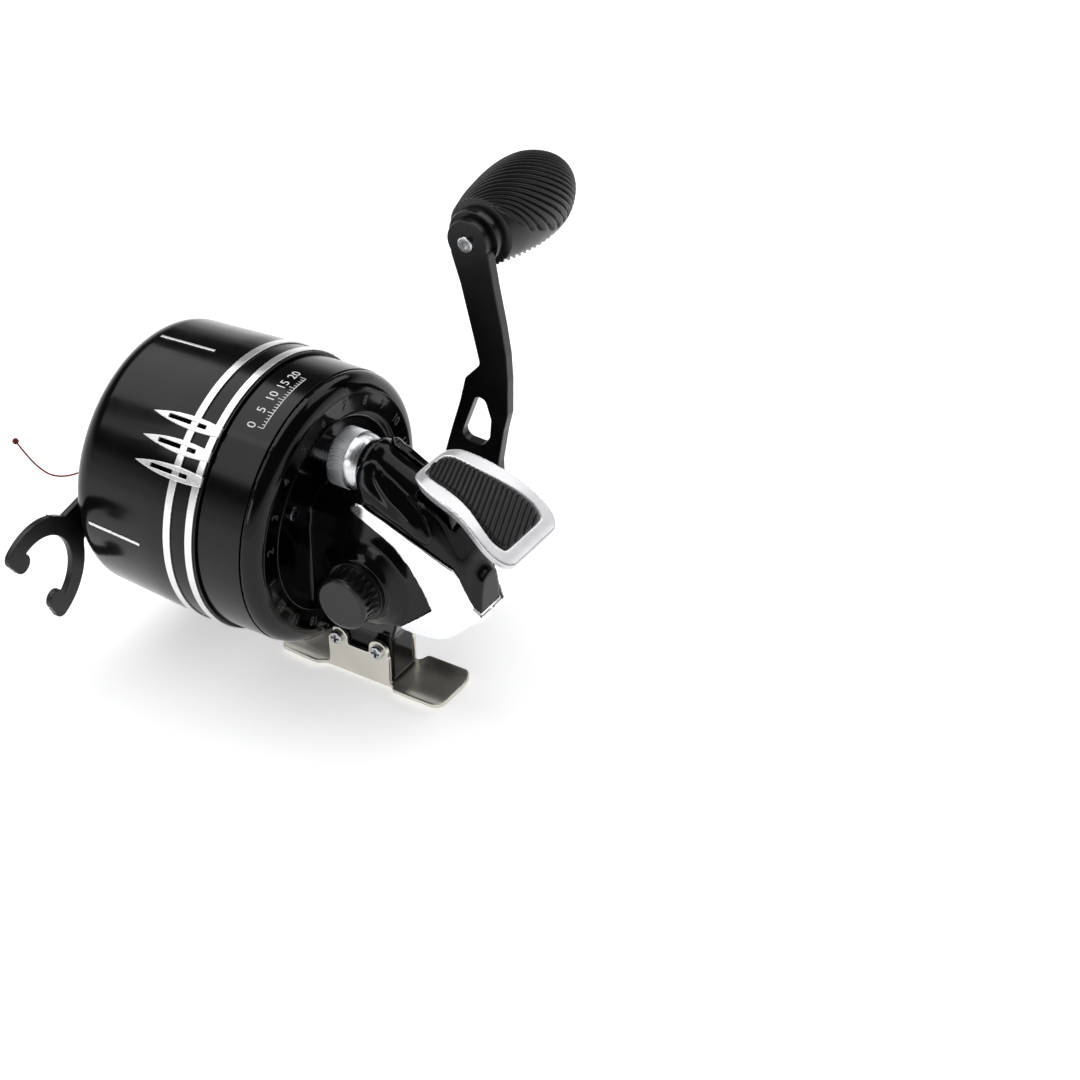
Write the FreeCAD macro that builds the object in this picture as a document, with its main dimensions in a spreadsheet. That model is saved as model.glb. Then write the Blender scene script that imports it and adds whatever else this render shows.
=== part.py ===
import FreeCAD, Part
import Sketcher
import math
import os
import re

# A closed-face reel for arrow fishing, at its real size in millimetres.
# Y runs forward along the spool axis, X points to the crank side and Z up.
# The origin lies on the spool axis in the plane of the rear chrome band.

SIZES = {
    # Front cover, the drum that closes over the spool
    "cover_rear_y": -2.0, "cover_straight_y": 12.0, "cover_taper_y": 34.0, "cover_front_y": 41.0,
    "cover_radius": 38.2, "cover_taper": 1.3, "cover_wall": 2.0, "cover_corner": 7.0,
    "cover_inner_corner": 4.5, "nose_radius": 8.5, "nose_length": 5.0,
    # Line eyelet and nose nut
    "eyelet_bore": 1.2, "eyelet_stem": 3.3, "eyelet_flange": 6.5, "eyelet_flange_depth": 1.8,
    "nut_radius": 11.6, "nut_depth": 4.0, "nut_flutes": 12,
    # Front fork, a claw plate clamped by the nose nut
    "fork_plate": 1.8, "fork_hub_radius": 12.5, "claw_x": -49.2, "claw_z": -14.6,
    "claw_inner": 11.9, "claw_outer": 17.2, "claw_open_from": 127.0, "claw_open_to": 295.0,
    "claw_tip_radius": 2.8, "claw_tip_reach": 10.6,
    # Chrome bands, louvre bezels and stripes
    "band_width": 2.2, "band_height": 0.5, "band_rear_y": -0.2, "band_front_y": 6.8,
    "louvre_rear_y": -1.7, "louvre_tip_y": 20.0, "louvre_wide_y": 10.5, "louvre_half_width": 1.7,
    "louvre_base_half": 1.3, "louvre_height": 0.9, "louvre_angle": 43.0, "louvre_pitch": 10.0,
    "slot_rear_y": 2.9, "slot_front_y": 14.8, "slot_half_width": 0.6,
    "stripe_rear_y": 16.3, "stripe_width": 0.9, "stripe_height": 0.25, "stripe_turn": 2.0,
    # Body collar and deck plate
    "collar_step": 0.8, "collar_rear_y": -15.4, "seam_gap": 0.3,
    "spigot_length": 10.0, "spigot_wall": 1.7, "ledge_depth": 3.0, "ledge_width": 4.2,
    "deck_thickness": 3.0, "deck_front_y": -9.4, "hub_radius": 9.0, "hub_front_y": 19.0,
    "hub_bore": 6.0, "hub_wall": 3.0, "boss_radius": 8.0, "boss_length": 4.0,
    # Spool
    "spool_gap": 1.5, "spool_arbor": 14.0, "spool_rear_y": -8.4, "spool_flange_depth": 1.8,
    "spool_length": 27.2, "winding_drop": 4.0, "retainer_radius": 11.0, "retainer_depth": 1.0,
    "pad_inner": 15.0, "pad_margin": 1.5, "pad_depth": 0.9,
    # Centre shaft, spinner head and pickup pin
    "shaft_radius": 1.75, "shaft_flat": 1.35, "shaft_front_y": 34.5, "button_rear_y": -56.6,
    "button_depth": 2.0, "button_radius": 3.2, "head_gap": 2.4, "head_skirt": 1.5,
    "head_disc_y": 25.0, "head_disc": 2.0, "head_rear_y": 20.6, "head_hub": 5.0, "head_hub_rear_y": 21.6,
    "head_hub_front_y": 30.0, "spinner_nut_depth": 3.0, "spinner_nut_flats": 7.0,
    "spring_wire": 0.5, "spring_room": 1.2, "spring_half_turns": 10,
    "pin_radius": 1.2, "pin_length": 8.2, "pin_gap": 0.7, "pin_y": 23.0,
    # Crank axis and the crossed helical gears
    "crank_y": -35.4, "crank_z": -10.7, "pinion_teeth": 5, "gear_teeth": 15, "pinion_helix": 60.0,
    "pressure_angle": 20.0, "tooth_backlash": 0.12, "pinion_face": 11.0, "gear_face": 6.0,
    "journal_radius": 2.9, "pinion_front_y": -11.0, "bush_outer": 4.5,
    # Crankshaft, ratchet and pawl
    "crankshaft_radius": 3.0, "crankshaft_left_x": -16.6, "crank_bush_outer": 5.0,
    "ratchet_teeth": 12, "ratchet_radius": 7.0, "ratchet_depth": 1.4, "ratchet_room": 3.3,
    "ratchet_thickness": 2.0, "ratchet_phase": 12.0, "pawl_y": -24.6, "pawl_z": -6.2,
    "pawl_hub": 2.2, "pawl_bore": 1.3, "pawl_reach": 4.6, "pawl_angle": 187.0, "clip_radius": 4.9,
    # Rear cover: ring, dished floor, gear housing, spine and foot stem
    "ring_rear_y": -20.0, "ring_corner": 4.2, "rear_wall": 2.2, "ring_width": 10.6, "floor_y": -18.0,
    "bead_width": 0.5, "bead_height": 0.18,
    "housing_half": 10.9, "housing_wall": 2.0,
    "housing_centre_y": -44.0, "housing_rear_y": -67.0, "tail_half": 4.6, "tail_power": 2.6,
    "fairing_front_half": 9.2, "crown_half": 6.4,
    "crown_drop": 2.6, "bulkhead_front_y": -44.7, "bulkhead": 2.0, "gear_room_top": 5.6,
    "gear_room_floor": -18.9,
    "lever_room_half": 4.6, "lever_room_rear_y": -61.0, "lever_room_floor": -5.0, "lever_room_top": 4.5,
    "boss_left_x": -14.6, "boss_right_x": 16.8, "side_boss_radius": 9.4, "boss_foot_radius": 13.0,
    "stem_half": 5.0, "stem_front_y": -19.8, "stem_rear_y": -38.6, "stem_neck_z": -32.4,
    "stem_floor": -45.8, "stem_top_half": 9.0,
    # Chrome trims on the housing's sides
    "trim_thickness": 0.8, "trim_meeting_z": -13.0, "seat": 0.05,
    # Left side cap
    "cap_face_x": -22.3, "cap_radius": 7.6, "cap_flange": 8.5, "cap_flange_depth": 1.2,
    "cap_wall": 1.5, "cap_chamfer": 1.1, "cap_ribs": 24, "cap_groove": 0.5,
    # Drag wheel and its screw
    "wheel_z": 18.4, "wheel_radius": 8.0, "wheel_front_y": -22.3, "knurl_depth": 5.3,
    "wheel_depth": 9.2, "wheel_end_radius": 7.0, "wheel_neck": 4.0, "drag_screw": 2.4,
    # Crank arm and knob
    "arm_x": 40.0, "arm_thickness": 3.0, "arm_length": 75.9, "arm_hub": 8.6, "arm_end": 6.1,
    "window_corner": 2.2,
    "square_side": 4.2, "thread_radius": 2.0, "crank_nut_flats": 8.0, "crank_nut_depth": 4.0,
    "sleeve_radius": 5.2, "knob_screw": 2.0, "knob_screw_head": 2.2, "knob_screw_head_depth": 1.2,
    "knob_collar": 7.6, "knob_collar_depth": 3.3, "knob_core": 5.0, "knob_length": 40.0,
    "knob_neck": 9.4, "knob_belly": 12.1, "core_length": 31.0,
    # Thumb lever
    "pivot_y": -54.6, "pivot_z": 11.0, "lever_pin": 1.5, "lever_pin_half": 6.2, "lever_half": 4.2,
    "lever_hub": 4.0, "lever_slot_front_y": -48.5, "finger_offset": 2.4, "finger_thickness": 2.6,
    "finger_low_z": -2.4, "pedal_depth": 3.4,
    "pad_recess": 1.3, "pad_crown": 0.5,
    # Foot
    "foot_floor": -47.3, "foot_sheet": 1.3, "foot_flat_half": 4.5, "foot_half": 9.0, "foot_rise": 1.4,
    "foot_bend": 16.0, "foot_corner": 3.0,
    "foot_rear_y": -55.0, "foot_front_y": -3.0, "ear_half": 6.5, "ear_front_y": -18.8,
    "ear_rear_y": -38.4, "ear_low_z": -37.5, "ear_lug_radius": 3.1, "foot_screw_z": -36.0,
    "foot_screw_front_y": -22.0, "foot_screw_rear_y": -35.0,
    # Screws
    "pan_head": 1.95, "pan_height": 1.3, "shank": 1.1, "foot_shank": 3.6,
    "cover_screw_x": 17.5, "cover_screw_z": 9.0, "cover_screw_low_z": -12.0, "cover_shank": 6.5,
    "deck_shank": 4.6, "thread_gap": 0.05, "run_gap": 0.04, "play": 0.3,
    # Red line and its end knot
    "line_diameter": 0.5, "knot_radius": 0.9,
}

# Sizes that follow from others, so that neighbours keep their clearances
FITS = {
    "cover_taper_radius": "cover_radius - cover_taper",
    "collar_radius": "cover_radius - collar_step",
    "dish_radius": "collar_radius - ring_width",
    "spigot_inner": "cover_radius - cover_wall - play - spigot_wall",
    "ledge_radius": "spigot_inner - ledge_width",
    "deck_screw_radius": "(ledge_radius + spigot_inner) / 2",
    "head_radius": "cover_taper_radius - cover_wall - head_gap",
    "pin_tip": "cover_taper_radius - cover_wall - pin_gap",
    "pin_inner": "pin_tip - pin_length",
    "spool_flange": "head_radius - head_skirt - spool_gap",
    "winding_radius": "spool_flange - winding_drop",
    "pad_outer": "spool_flange - pad_margin",
    "ratchet_x": "housing_half - housing_wall - ratchet_room",
}

MODULE = "(-crank_z / (pinion_teeth / (2 * cos(pinion_helix * 1deg)) + gear_teeth / (2 * sin(pinion_helix * 1deg))))"

doc = FreeCAD.newDocument("Reel")
sheet = doc.addObject("Spreadsheet::Sheet", "dims")
NODES = []


def fill_sheet():
    """Put every driving size on its own row with its name as alias."""
    formulas = {name: "=" + formula for name, formula in FITS.items()}
    for row, (name, value) in enumerate({**SIZES, **formulas}.items(), 1):
        sheet.set(f"A{row}", name)
        sheet.set(f"B{row}", str(value))
        sheet.setAlias(f"B{row}", name)
        doc.recompute()


def link(formula):
    """Turn a formula of size names into an expression on the sheet."""
    def swap(word):
        name = word.group()
        return "dims." + name if name in SIZES or name in FITS else name
    return re.sub(r"[A-Za-z_]\w*", swap, str(formula))


def size(formula):
    """Return the number that a formula of size names gives now."""
    return float(sheet.evalExpression(link(formula)))


def keep(item, label):
    """Name a finished sub-part and list it for checking and export."""
    item.Label = label
    NODES.append(item)
    return item


def put(label, shape, base=(0, 0, 0)):
    """Add a shape made with Part's functions as a sub-part."""
    item = doc.addObject("Part::Feature", label + "_solid")
    item.Shape = shape
    item.Placement = FreeCAD.Placement(FreeCAD.Vector(*base), FreeCAD.Rotation()).multiply(shape.Placement)
    return keep(item, label)


def origin_plane(body, role):
    """Return one of a body's own origin planes."""
    return [plane for plane in body.Origin.OriginFeatures if plane.Role == role][0]


def new_body(label, base=None):
    """Start a body whose place along each axis may follow the sheet."""
    body = doc.addObject("PartDesign::Body", label + "_body")
    for axis, formula in (base or {}).items():
        body.setExpression("Placement.Base." + axis, link(formula))
    return keep(body, label)


def hold(sketch, name, kind, entity, point, formula):
    """Add one driven distance to a sketch and bind it to the sheet."""
    index = sketch.addConstraint(Sketcher.Constraint(kind, entity, point, size(formula)))
    sketch.renameConstraint(index, name)
    sketch.setExpression("Constraints." + name, link(formula))


def outline(body, role, corners, label="Outline"):
    """Draw a closed polyline whose corners all follow the sheet."""
    sketch = body.newObject("Sketcher::SketchObject", label)
    sketch.AttachmentSupport = [(origin_plane(body, role), "")]
    sketch.MapMode = "FlatFace"
    spots = [FreeCAD.Vector(size(u), size(v), 0) for u, v in corners]
    count = len(spots)
    for i in range(count):
        sketch.addGeometry(Part.LineSegment(spots[i], spots[(i + 1) % count]), False)
    for i in range(count):
        sketch.addConstraint(Sketcher.Constraint("Coincident", i, 2, (i + 1) % count, 1))
    for i, (u, v) in enumerate(corners):
        hold(sketch, f"u{i}", "DistanceX", i, 1, u)
        hold(sketch, f"v{i}", "DistanceY", i, 1, v)
    return sketch


def rings(body, role, circles, label="Circles"):
    """Draw circles, each a centre and a radius that follow the sheet."""
    sketch = body.newObject("Sketcher::SketchObject", label)
    sketch.AttachmentSupport = [(origin_plane(body, role), "")]
    sketch.MapMode = "FlatFace"
    for i, (u, v, radius) in enumerate(circles):
        centre = FreeCAD.Vector(size(u), size(v), 0)
        sketch.addGeometry(Part.Circle(centre, FreeCAD.Vector(0, 0, 1), size(radius)), False)
        hold(sketch, f"u{i}", "DistanceX", i, 3, u)
        hold(sketch, f"v{i}", "DistanceY", i, 3, v)
        index = sketch.addConstraint(Sketcher.Constraint("Radius", i, size(radius)))
        sketch.renameConstraint(index, f"r{i}")
        sketch.setExpression(f"Constraints.r{i}", link(radius))
    return sketch


def turned(label, corners, axis="Y", base=None):
    """Turn a profile of stations and radii about the Y or X axis."""
    body = new_body(label, base)
    sketch = outline(body, {"Y": "YZ_Plane", "X": "XZ_Plane"}[axis], corners)
    turning = body.newObject("PartDesign::Revolution", label + "_turning")
    turning.Profile = sketch
    turning.ReferenceAxis = (sketch, ["H_Axis"])
    turning.Angle = 360
    return body


def tube(label, start, end, inner, outer, axis="Y", base=None):
    """Turn a plain sleeve, washer or ring."""
    return turned(label, [(start, inner), (end, inner), (end, outer), (start, outer)], axis, base)


def drill(body, role, circles, depth):
    """Cut round holes both ways from an origin plane of the body."""
    doc.recompute()
    before = body.Shape.Volume
    sketch = rings(body, role, circles, "Holes")
    pocket = body.newObject("PartDesign::Pocket", "Drilling")
    pocket.Profile = sketch
    pocket.SideType = "Symmetric"
    pocket.setExpression("Length", link(depth))
    doc.recompute()
    if body.Shape.Volume >= before:
        raise RuntimeError(body.Label + ": the holes cut nothing")
    return body


# Plain shapes for the pieces that Part's functions make


def vector(x, y, z):
    return FreeCAD.Vector(x, y, z)


AXES = {"X": vector(1, 0, 0), "Y": vector(0, 1, 0), "Z": vector(0, 0, 1)}


def rod(radius, start, end, axis, a=0.0, b=0.0):
    """Cylinder from start to end along an axis; a and b are its other two places in X, Y, Z order."""
    foot = {"X": vector(start, a, b), "Y": vector(a, start, b), "Z": vector(a, b, start)}[axis]
    return Part.makeCylinder(radius, end - start, foot, AXES[axis])


def slab(x0, x1, y0, y1, z0, z1):
    return Part.makeBox(x1 - x0, y1 - y0, z1 - z0, vector(x0, y0, z0))


def fused(shapes):
    """Fuse a list of shapes into one and merge its coplanar faces."""
    first, rest = shapes[0], shapes[1:]
    return first.fuse(rest).removeSplitter() if rest else first


def place_on(plane, u, v, level=0.0):
    """Give the point at u, v in the XY, XZ or YZ plane."""
    return {"XY": vector(u, v, level), "XZ": vector(u, level, v), "YZ": vector(level, u, v)}[plane]


def polygon(plane, corners, start, end):
    """Extrude a polygon of the given plane between two levels."""
    spots = [place_on(plane, u, v, start) for u, v in corners]
    face = Part.Face(Part.makePolygon(spots + spots[:1]))
    return face.extrude(place_on(plane, 0, 0, end - start))


def softened(corners, radius):
    """Return line and arc edges that round each corner of a polygon in its plane."""
    count = len(corners)
    runs = []
    for i in range(count):
        back = vector(*corners[i - 1], 0) - vector(*corners[i], 0)
        ahead = vector(*corners[(i + 1) % count], 0) - vector(*corners[i], 0)
        half = back.getAngle(ahead) / 2
        reach = min(radius / math.tan(half), 0.45 * back.Length, 0.45 * ahead.Length)
        corner = vector(*corners[i], 0)
        middle = (back.normalize() + ahead.normalize()).normalize()
        sag = reach / math.cos(half) - reach * math.tan(half)
        runs.append((corner + back * reach, corner + middle * sag, corner + ahead * reach))
    edges = []
    for i in range(count):
        enter, top, leave = runs[i]
        edges.append(Part.Arc(enter, top, leave).toShape())
        if (runs[(i + 1) % count][0] - leave).Length > 1e-6:
            edges.append(Part.makeLine(leave, runs[(i + 1) % count][0]))
    return edges


def soft_plate(plane, corners, radius, start, end):
    """Extrude a polygon with rounded corners between two levels."""
    face = Part.Face(Part.Wire(softened(corners, radius)))
    solid = face.extrude(vector(0, 0, end - start))
    solid.translate(vector(0, 0, start))
    if plane == "XZ":
        solid.rotate(vector(0, 0, 0), AXES["X"], 90)
        solid = solid.mirror(vector(0, 0, 0), AXES["Y"])
    if plane == "YZ":
        solid.rotate(vector(0, 0, 0), vector(1, 1, 1), 120)
    return solid


def spun(corners, axis):
    """Turn a closed polygon of stations and radii a full turn about an axis."""
    plane, along = {"Y": ("YZ", AXES["Y"]), "X": ("XZ", AXES["X"])}[axis]
    spots = [place_on(plane, station, radius) for station, radius in corners]
    face = Part.Face(Part.makePolygon(spots + spots[:1]))
    return face.revolve(vector(0, 0, 0), along, 360)


def turn_about_y(shape, degrees):
    copy = shape.copy()
    copy.rotate(vector(0, 0, 0), AXES["Y"], degrees)
    return copy


def hexagon(flats, start, end, axis, a=0.0, b=0.0):
    """Six-sided prism along an axis, its place given as for rod."""
    radius = flats / math.sqrt(3)
    corners = [(radius * math.cos(math.radians(60 * i)), radius * math.sin(math.radians(60 * i)))
               for i in range(6)]
    plane = {"X": "YZ", "Y": "XZ"}[axis]
    return polygon(plane, [(a + u, b + v) for u, v in corners], start, end)


def pan_screw(shank_length, spot, direction):
    """Pan-head screw with a cross recess, its head's seat at spot and its head towards direction."""
    head, height, shank = size("pan_head"), size("pan_height"), size("shank")
    blank = rod(head, 0, height, "Z")
    dome = blank.makeFillet(0.45 * height, blank.Edges[:1])
    arm, slot = 0.68 * head, 0.2 * head
    recess = fused([slab(-arm, arm, -slot, slot, 0.4 * height, height),
                    slab(-slot, slot, -arm, arm, 0.4 * height, height)])
    screw = fused([dome, rod(shank, -shank_length, 0, "Z")]).cut(recess)
    turn = FreeCAD.Rotation(AXES["Z"], vector(*direction))
    screw.Placement = FreeCAD.Placement(vector(*spot), turn)
    return screw


def mirrored(shape):
    """Return the shape's twin on the other side of the middle plane."""
    return shape.mirror(vector(0, 0, 0), AXES["X"])


# Front cover and what it carries


def cover_radius_at(y):
    """Outer radius of the front cover's side at a station behind its rounded edge."""
    start, end = size("cover_straight_y"), size("cover_taper_y")
    share = min(max((y - start) / (end - start), 0), 1)
    return size("cover_radius") + share * size("cover_taper_radius - cover_radius")


def louvre_turns(side):
    """Turns about Y from the crank side to one side's louvres: high on the left, opposite them on the right."""
    middle, pitch = size("louvre_angle"), size("louvre_pitch")
    start = 0 if side == 1 else -180
    return [start + middle + step for step in (-pitch, 0, pitch)]


def front_cover():
    """Drum shell with a rounded front edge, a threaded nose and louvre slots."""
    face = "cover_front_y"
    shell = new_body("front_cover_shell")
    NODES.remove(shell)
    inner_face = face + " - cover_wall"
    sketch = outline(shell, "YZ_Plane", [
        ("cover_rear_y", "cover_radius - cover_wall"), ("cover_rear_y", "cover_radius"),
        ("cover_straight_y", "cover_radius"), ("cover_taper_y", "cover_taper_radius"),
        (face, "cover_taper_radius - 0.3"), (face, "nose_radius"),
        (face + " + nose_length", "nose_radius"), (face + " + nose_length", "eyelet_stem + thread_gap"),
        (inner_face, "eyelet_stem + thread_gap"), (inner_face, "cover_taper_radius - cover_wall - 0.3"),
        ("cover_taper_y", "cover_taper_radius - cover_wall"),
        ("cover_straight_y", "cover_radius - cover_wall")])
    turning = shell.newObject("PartDesign::Revolution", "Cover_turning")
    turning.Profile = sketch
    turning.ReferenceAxis = (sketch, ["H_Axis"])
    turning.Angle = 360
    doc.recompute()
    for radius, station, reach in (("cover_corner", size(face), size("cover_taper_radius - 0.3")),
                                   ("cover_inner_corner", size(inner_face),
                                    size("cover_taper_radius - cover_wall - 0.3"))):
        round_edge(shell, radius, station, reach)
    cutters = []
    for side in (1, -1):
        for turn in louvre_turns(side):
            slot = slab(size("cover_radius") - 6, size("cover_radius") + 2, size("slot_rear_y"),
                        size("slot_front_y"), -size("slot_half_width"), size("slot_half_width"))
            cutters.append(turn_about_y(slot, turn))
    slots = doc.addObject("Part::Feature", "cover_slots")
    slots.Shape = Part.makeCompound(cutters)
    cover = doc.addObject("Part::Cut", "front_cover_cut")
    cover.Base = shell
    cover.Tool = slots
    return keep(cover, "front_cover")


def round_edge(body, radius, station, reach):
    """Round the circular edge of a turned body that lies at a station and radius."""
    feature = body.Tip
    for number, edge in enumerate(feature.Shape.Edges, 1):
        box = edge.BoundBox
        if abs(box.YMin - station) < 0.01 and abs(box.YMax - station) < 0.01 and abs(box.XMax - reach) < 0.01:
            rounding = body.newObject("PartDesign::Fillet", "Rounding")
            rounding.Base = (feature, [f"Edge{number}"])
            rounding.setExpression("Radius", link(radius))
            doc.recompute()
            return
    raise RuntimeError(body.Label + ": no edge to round")


def bands():
    """Two raised chrome rings round the rear of the cover."""
    for label, middle in (("band_front", "band_front_y"), ("band_rear", "band_rear_y")):
        tube(label, middle + " - band_width / 2", middle + " + band_width / 2",
             "cover_radius + seat", "cover_radius + band_height")


def louvre_plan():
    """Bullet outline of a louvre bezel as stations and half widths."""
    rear, wide, tip = size("louvre_rear_y"), size("louvre_wide_y"), size("louvre_tip_y")
    base, half = size("louvre_base_half"), size("louvre_half_width")
    right = [vector(0, rear, -base), vector(0, wide, -half), vector(0, tip, 0)]
    flank = Part.BSplineCurve()
    flank.interpolate(right)
    back = Part.BSplineCurve()
    back.interpolate([vector(0, spot.y, -spot.z) for spot in reversed(right)])
    close = Part.makeLine(vector(0, rear, base), vector(0, rear, -base))
    return Part.Face(Part.Wire([flank.toShape(), back.toShape(), close]))


def louvre_bezels():
    """Chrome bullet bezels over the cover's slots, notched where the bands pass under them."""
    low, high = size("cover_radius + seat"), size("cover_radius + louvre_height")
    rear, tip = size("louvre_rear_y") - 1, size("louvre_tip_y") + 1
    shell = spun([(rear, low), (size("cover_straight_y"), low),
                  (tip, cover_radius_at(tip) + size("seat")), (tip, cover_radius_at(tip) + size("louvre_height")),
                  (size("cover_straight_y"), high), (rear, high)], "Y")
    half, top = size("band_width / 2 + seat"), size("cover_radius + band_height + seat")
    for middle in (size("band_front_y"), size("band_rear_y")):
        shell = shell.cut(spun([(middle - half, low - 1), (middle + half, low - 1),
                                (middle + half, top), (middle - half, top)], "Y"))
    block = louvre_plan().extrude(vector(high + 2, 0, 0))
    slot = slab(0, high + 2, size("slot_rear_y"), size("slot_front_y"),
                -size("slot_half_width"), size("slot_half_width"))
    block = block.cut(slot)
    for label, side in (("louvre_bezels_right", 1), ("louvre_bezels_left", -1)):
        pieces = [turn_about_y(block, turn).common(shell) for turn in louvre_turns(side)]
        put(label, Part.makeCompound([solid for piece in pieces for solid in piece.Solids]))


def cover_stripes():
    """Four thin chrome stripes along the cover's tapered front part."""
    rear, front = size("stripe_rear_y"), size("cover_taper_y")
    low, high = size("seat"), size("stripe_height + seat")
    shell = spun([(rear, cover_radius_at(rear) + low), (front, cover_radius_at(front) + low),
                  (front, cover_radius_at(front) + high), (rear, cover_radius_at(rear) + high)], "Y")
    half = size("stripe_width / 2")
    strip = slab(0, size("cover_radius") + 5, rear, front, -half, half)
    strips = [turn_about_y(strip, 90 * i - size("stripe_turn")).common(shell) for i in range(4)]
    put("cover_stripes", Part.makeCompound([solid for piece in strips for solid in piece.Solids]))


def nose_parts():
    """Line eyelet in the nose and the fluted nut that clamps the fork."""
    seat = "cover_front_y + nose_length"
    turned("line_eyelet", [
        ("cover_front_y - cover_wall", "eyelet_bore"), ("cover_front_y - cover_wall", "eyelet_stem"),
        (seat, "eyelet_stem"), (seat, "eyelet_flange"),
        (seat + " + 0.6 * eyelet_flange_depth", "eyelet_flange"),
        (seat + " + eyelet_flange_depth", "eyelet_flange - 0.8"),
        (seat + " + eyelet_flange_depth", "2.2 * eyelet_bore"),
        (seat + " + 0.3 * eyelet_flange_depth", "eyelet_bore")])
    start = size("cover_front_y + fork_plate")
    end = start + size("nut_depth")
    radius, flutes = size("nut_radius"), int(size("nut_flutes"))
    nut = rod(radius, start, end, "Y").cut(rod(size("nose_radius + thread_gap"), start, end, "Y"))
    cutters = []
    for i in range(flutes):
        angle = 2 * math.pi * i / flutes
        cutters.append(rod(0.12 * radius, start, end, "Y", radius * math.cos(angle), radius * math.sin(angle)))
    put("nose_nut", nut.cut(Part.makeCompound(cutters)))


def front_fork():
    """Flat claw plate: a ring round the nose, a neck and an open C with inturned tips."""
    start = size("cover_front_y")
    end = start + size("fork_plate")
    x, z = size("claw_x"), size("claw_z")
    inner, outer = size("claw_inner"), size("claw_outer")
    disc = rod(outer, start, end, "Y", x, z)
    reach = 2 * outer
    first, last = math.radians(size("claw_open_from")), math.radians(size("claw_open_to"))
    fan = [(x, z)]
    steps = 8
    for i in range(steps + 1):
        angle = first + (last - first) * i / steps
        fan.append((x + reach * math.cos(angle), z + reach * math.sin(angle)))
    claw = disc.cut(polygon("XZ", fan, start - 1, end + 1))
    tips = []
    for angle in (first, last):
        centre = size("claw_tip_reach")
        for share in (0.0, 0.5, 1.0):
            ahead = centre + share * (outer - size("claw_tip_radius") - centre)
            tips.append(rod(size("claw_tip_radius"), start, end, "Y",
                            x + ahead * math.cos(angle), z + ahead * math.sin(angle)))
    hub = rod(size("fork_hub_radius"), start, end, "Y")
    neck = polygon("XZ", [(0, 0.5 * size("fork_hub_radius")), (x + 18.0, z + 14.7), (x + 9.5, z + 13.0),
                          (x + 6.0, z + outer - 1.0), (x + inner + 1.0, z), (x + outer - 0.4, z - 3.0),
                          (x + outer + 0.3, z + 2.6), (0, -0.9 * size("fork_hub_radius"))], start, end)
    plate = fused([claw, hub, neck] + tips)
    plate = plate.cut(hollow_claw(start, end, x, z, inner, tips))
    put("front_fork", plate.cut(rod(size("nose_radius + thread_gap"), start - 1, end + 1, "Y")))


def hollow_claw(start, end, x, z, inner, tips):
    """Round opening of the claw, less the inturned tips."""
    return rod(inner, start - 1, end + 1, "Y", x, z).cut(Part.makeCompound(tips))


# Body, deck and spool


def body_collar():
    """Ring between the cover and the rear cover, with a spigot forward and a ledge inside."""
    seam = "cover_rear_y - seam_gap"
    spigot = "cover_radius - cover_wall - play"
    turned("body_collar", [
        ("collar_rear_y", "ledge_radius"), ("collar_rear_y", "collar_radius"), (seam, "collar_radius"),
        (seam, spigot), (seam + " + spigot_length", spigot),
        (seam + " + spigot_length", spigot + " - spigot_wall"), (seam, spigot + " - spigot_wall"),
        ("collar_rear_y + ledge_depth", spigot + " - spigot_wall"),
        ("collar_rear_y + ledge_depth", "ledge_radius")])


def deck_screw_spots():
    """Places of the three screws that hold the deck to the collar's ledge."""
    return [(f"deck_screw_radius * cos({angle}deg)", f"deck_screw_radius * sin({angle}deg)")
            for angle in (90, 210, 330)]


def cover_screw_spots():
    """Places of the three screws that hold the rear cover to the deck's posts."""
    return [("cover_screw_x", "cover_screw_z"), ("-cover_screw_x", "cover_screw_z"),
            ("cover_screw_x", "cover_screw_low_z")]


def deck_plate():
    """Plate with the spool's hub in front, the pinion's boss behind and three posts."""
    back = "(deck_front_y - deck_thickness)"
    rear = back + " - boss_length"
    body = turned("deck_plate_turned", [
        (rear, "bush_outer + thread_gap"), (rear, "boss_radius"), (back, "boss_radius"),
        (back, "cover_radius - cover_wall - spigot_wall - 2 * play"),
        ("deck_front_y", "cover_radius - cover_wall - spigot_wall - 2 * play"),
        ("deck_front_y", "hub_radius"), ("hub_front_y", "hub_radius"),
        ("hub_front_y", "shaft_radius + play"), ("hub_front_y - hub_wall", "shaft_radius + play"),
        ("hub_front_y - hub_wall", "hub_bore"), ("pinion_front_y + 0.1", "hub_bore"),
        ("pinion_front_y + 0.1", "bush_outer + thread_gap")])
    NODES.remove(body)
    doc.recompute()
    front, floor = size(back), size("floor_y + rear_wall")
    posts = [rod(size("pan_head + 1"), floor, front, "Y", size(x), size(z)) for x, z in cover_screw_spots()]
    bores = [rod(size("shank + thread_gap"), floor - 1, front + size("deck_thickness + 1"), "Y", size(x), size(z))
             for x, z in cover_screw_spots()]
    bores += [rod(size("shank + thread_gap"), front - 1, front + size("deck_thickness + 1"), "Y", size(x), size(z))
              for x, z in deck_screw_spots()]
    bores.append(rod(size("drag_screw + thread_gap"), front - 1, front + size("deck_thickness + 1"), "Y",
                     0, size("wheel_z")))
    solid = fused([body.Shape] + posts).cut(Part.makeCompound(bores))
    put("deck_plate", solid)
    ledge = size("collar_rear_y")
    collar = [item for item in NODES if item.Label == "body_collar"][0]
    drill_ledge(collar, ledge)
    head = size("deck_front_y")
    put("deck_screws", Part.makeCompound([
        pan_screw(size("deck_shank"), (size(x), head, size(z)), (0, 1, 0)) for x, z in deck_screw_spots()]))


def drill_ledge(collar, ledge):
    """Tap the collar's ledge for the deck screws."""
    drill(collar, "XZ_Plane", [(x, z, "shank + thread_gap") for x, z in deck_screw_spots()],
          "-2 * collar_rear_y + 1")


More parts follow.
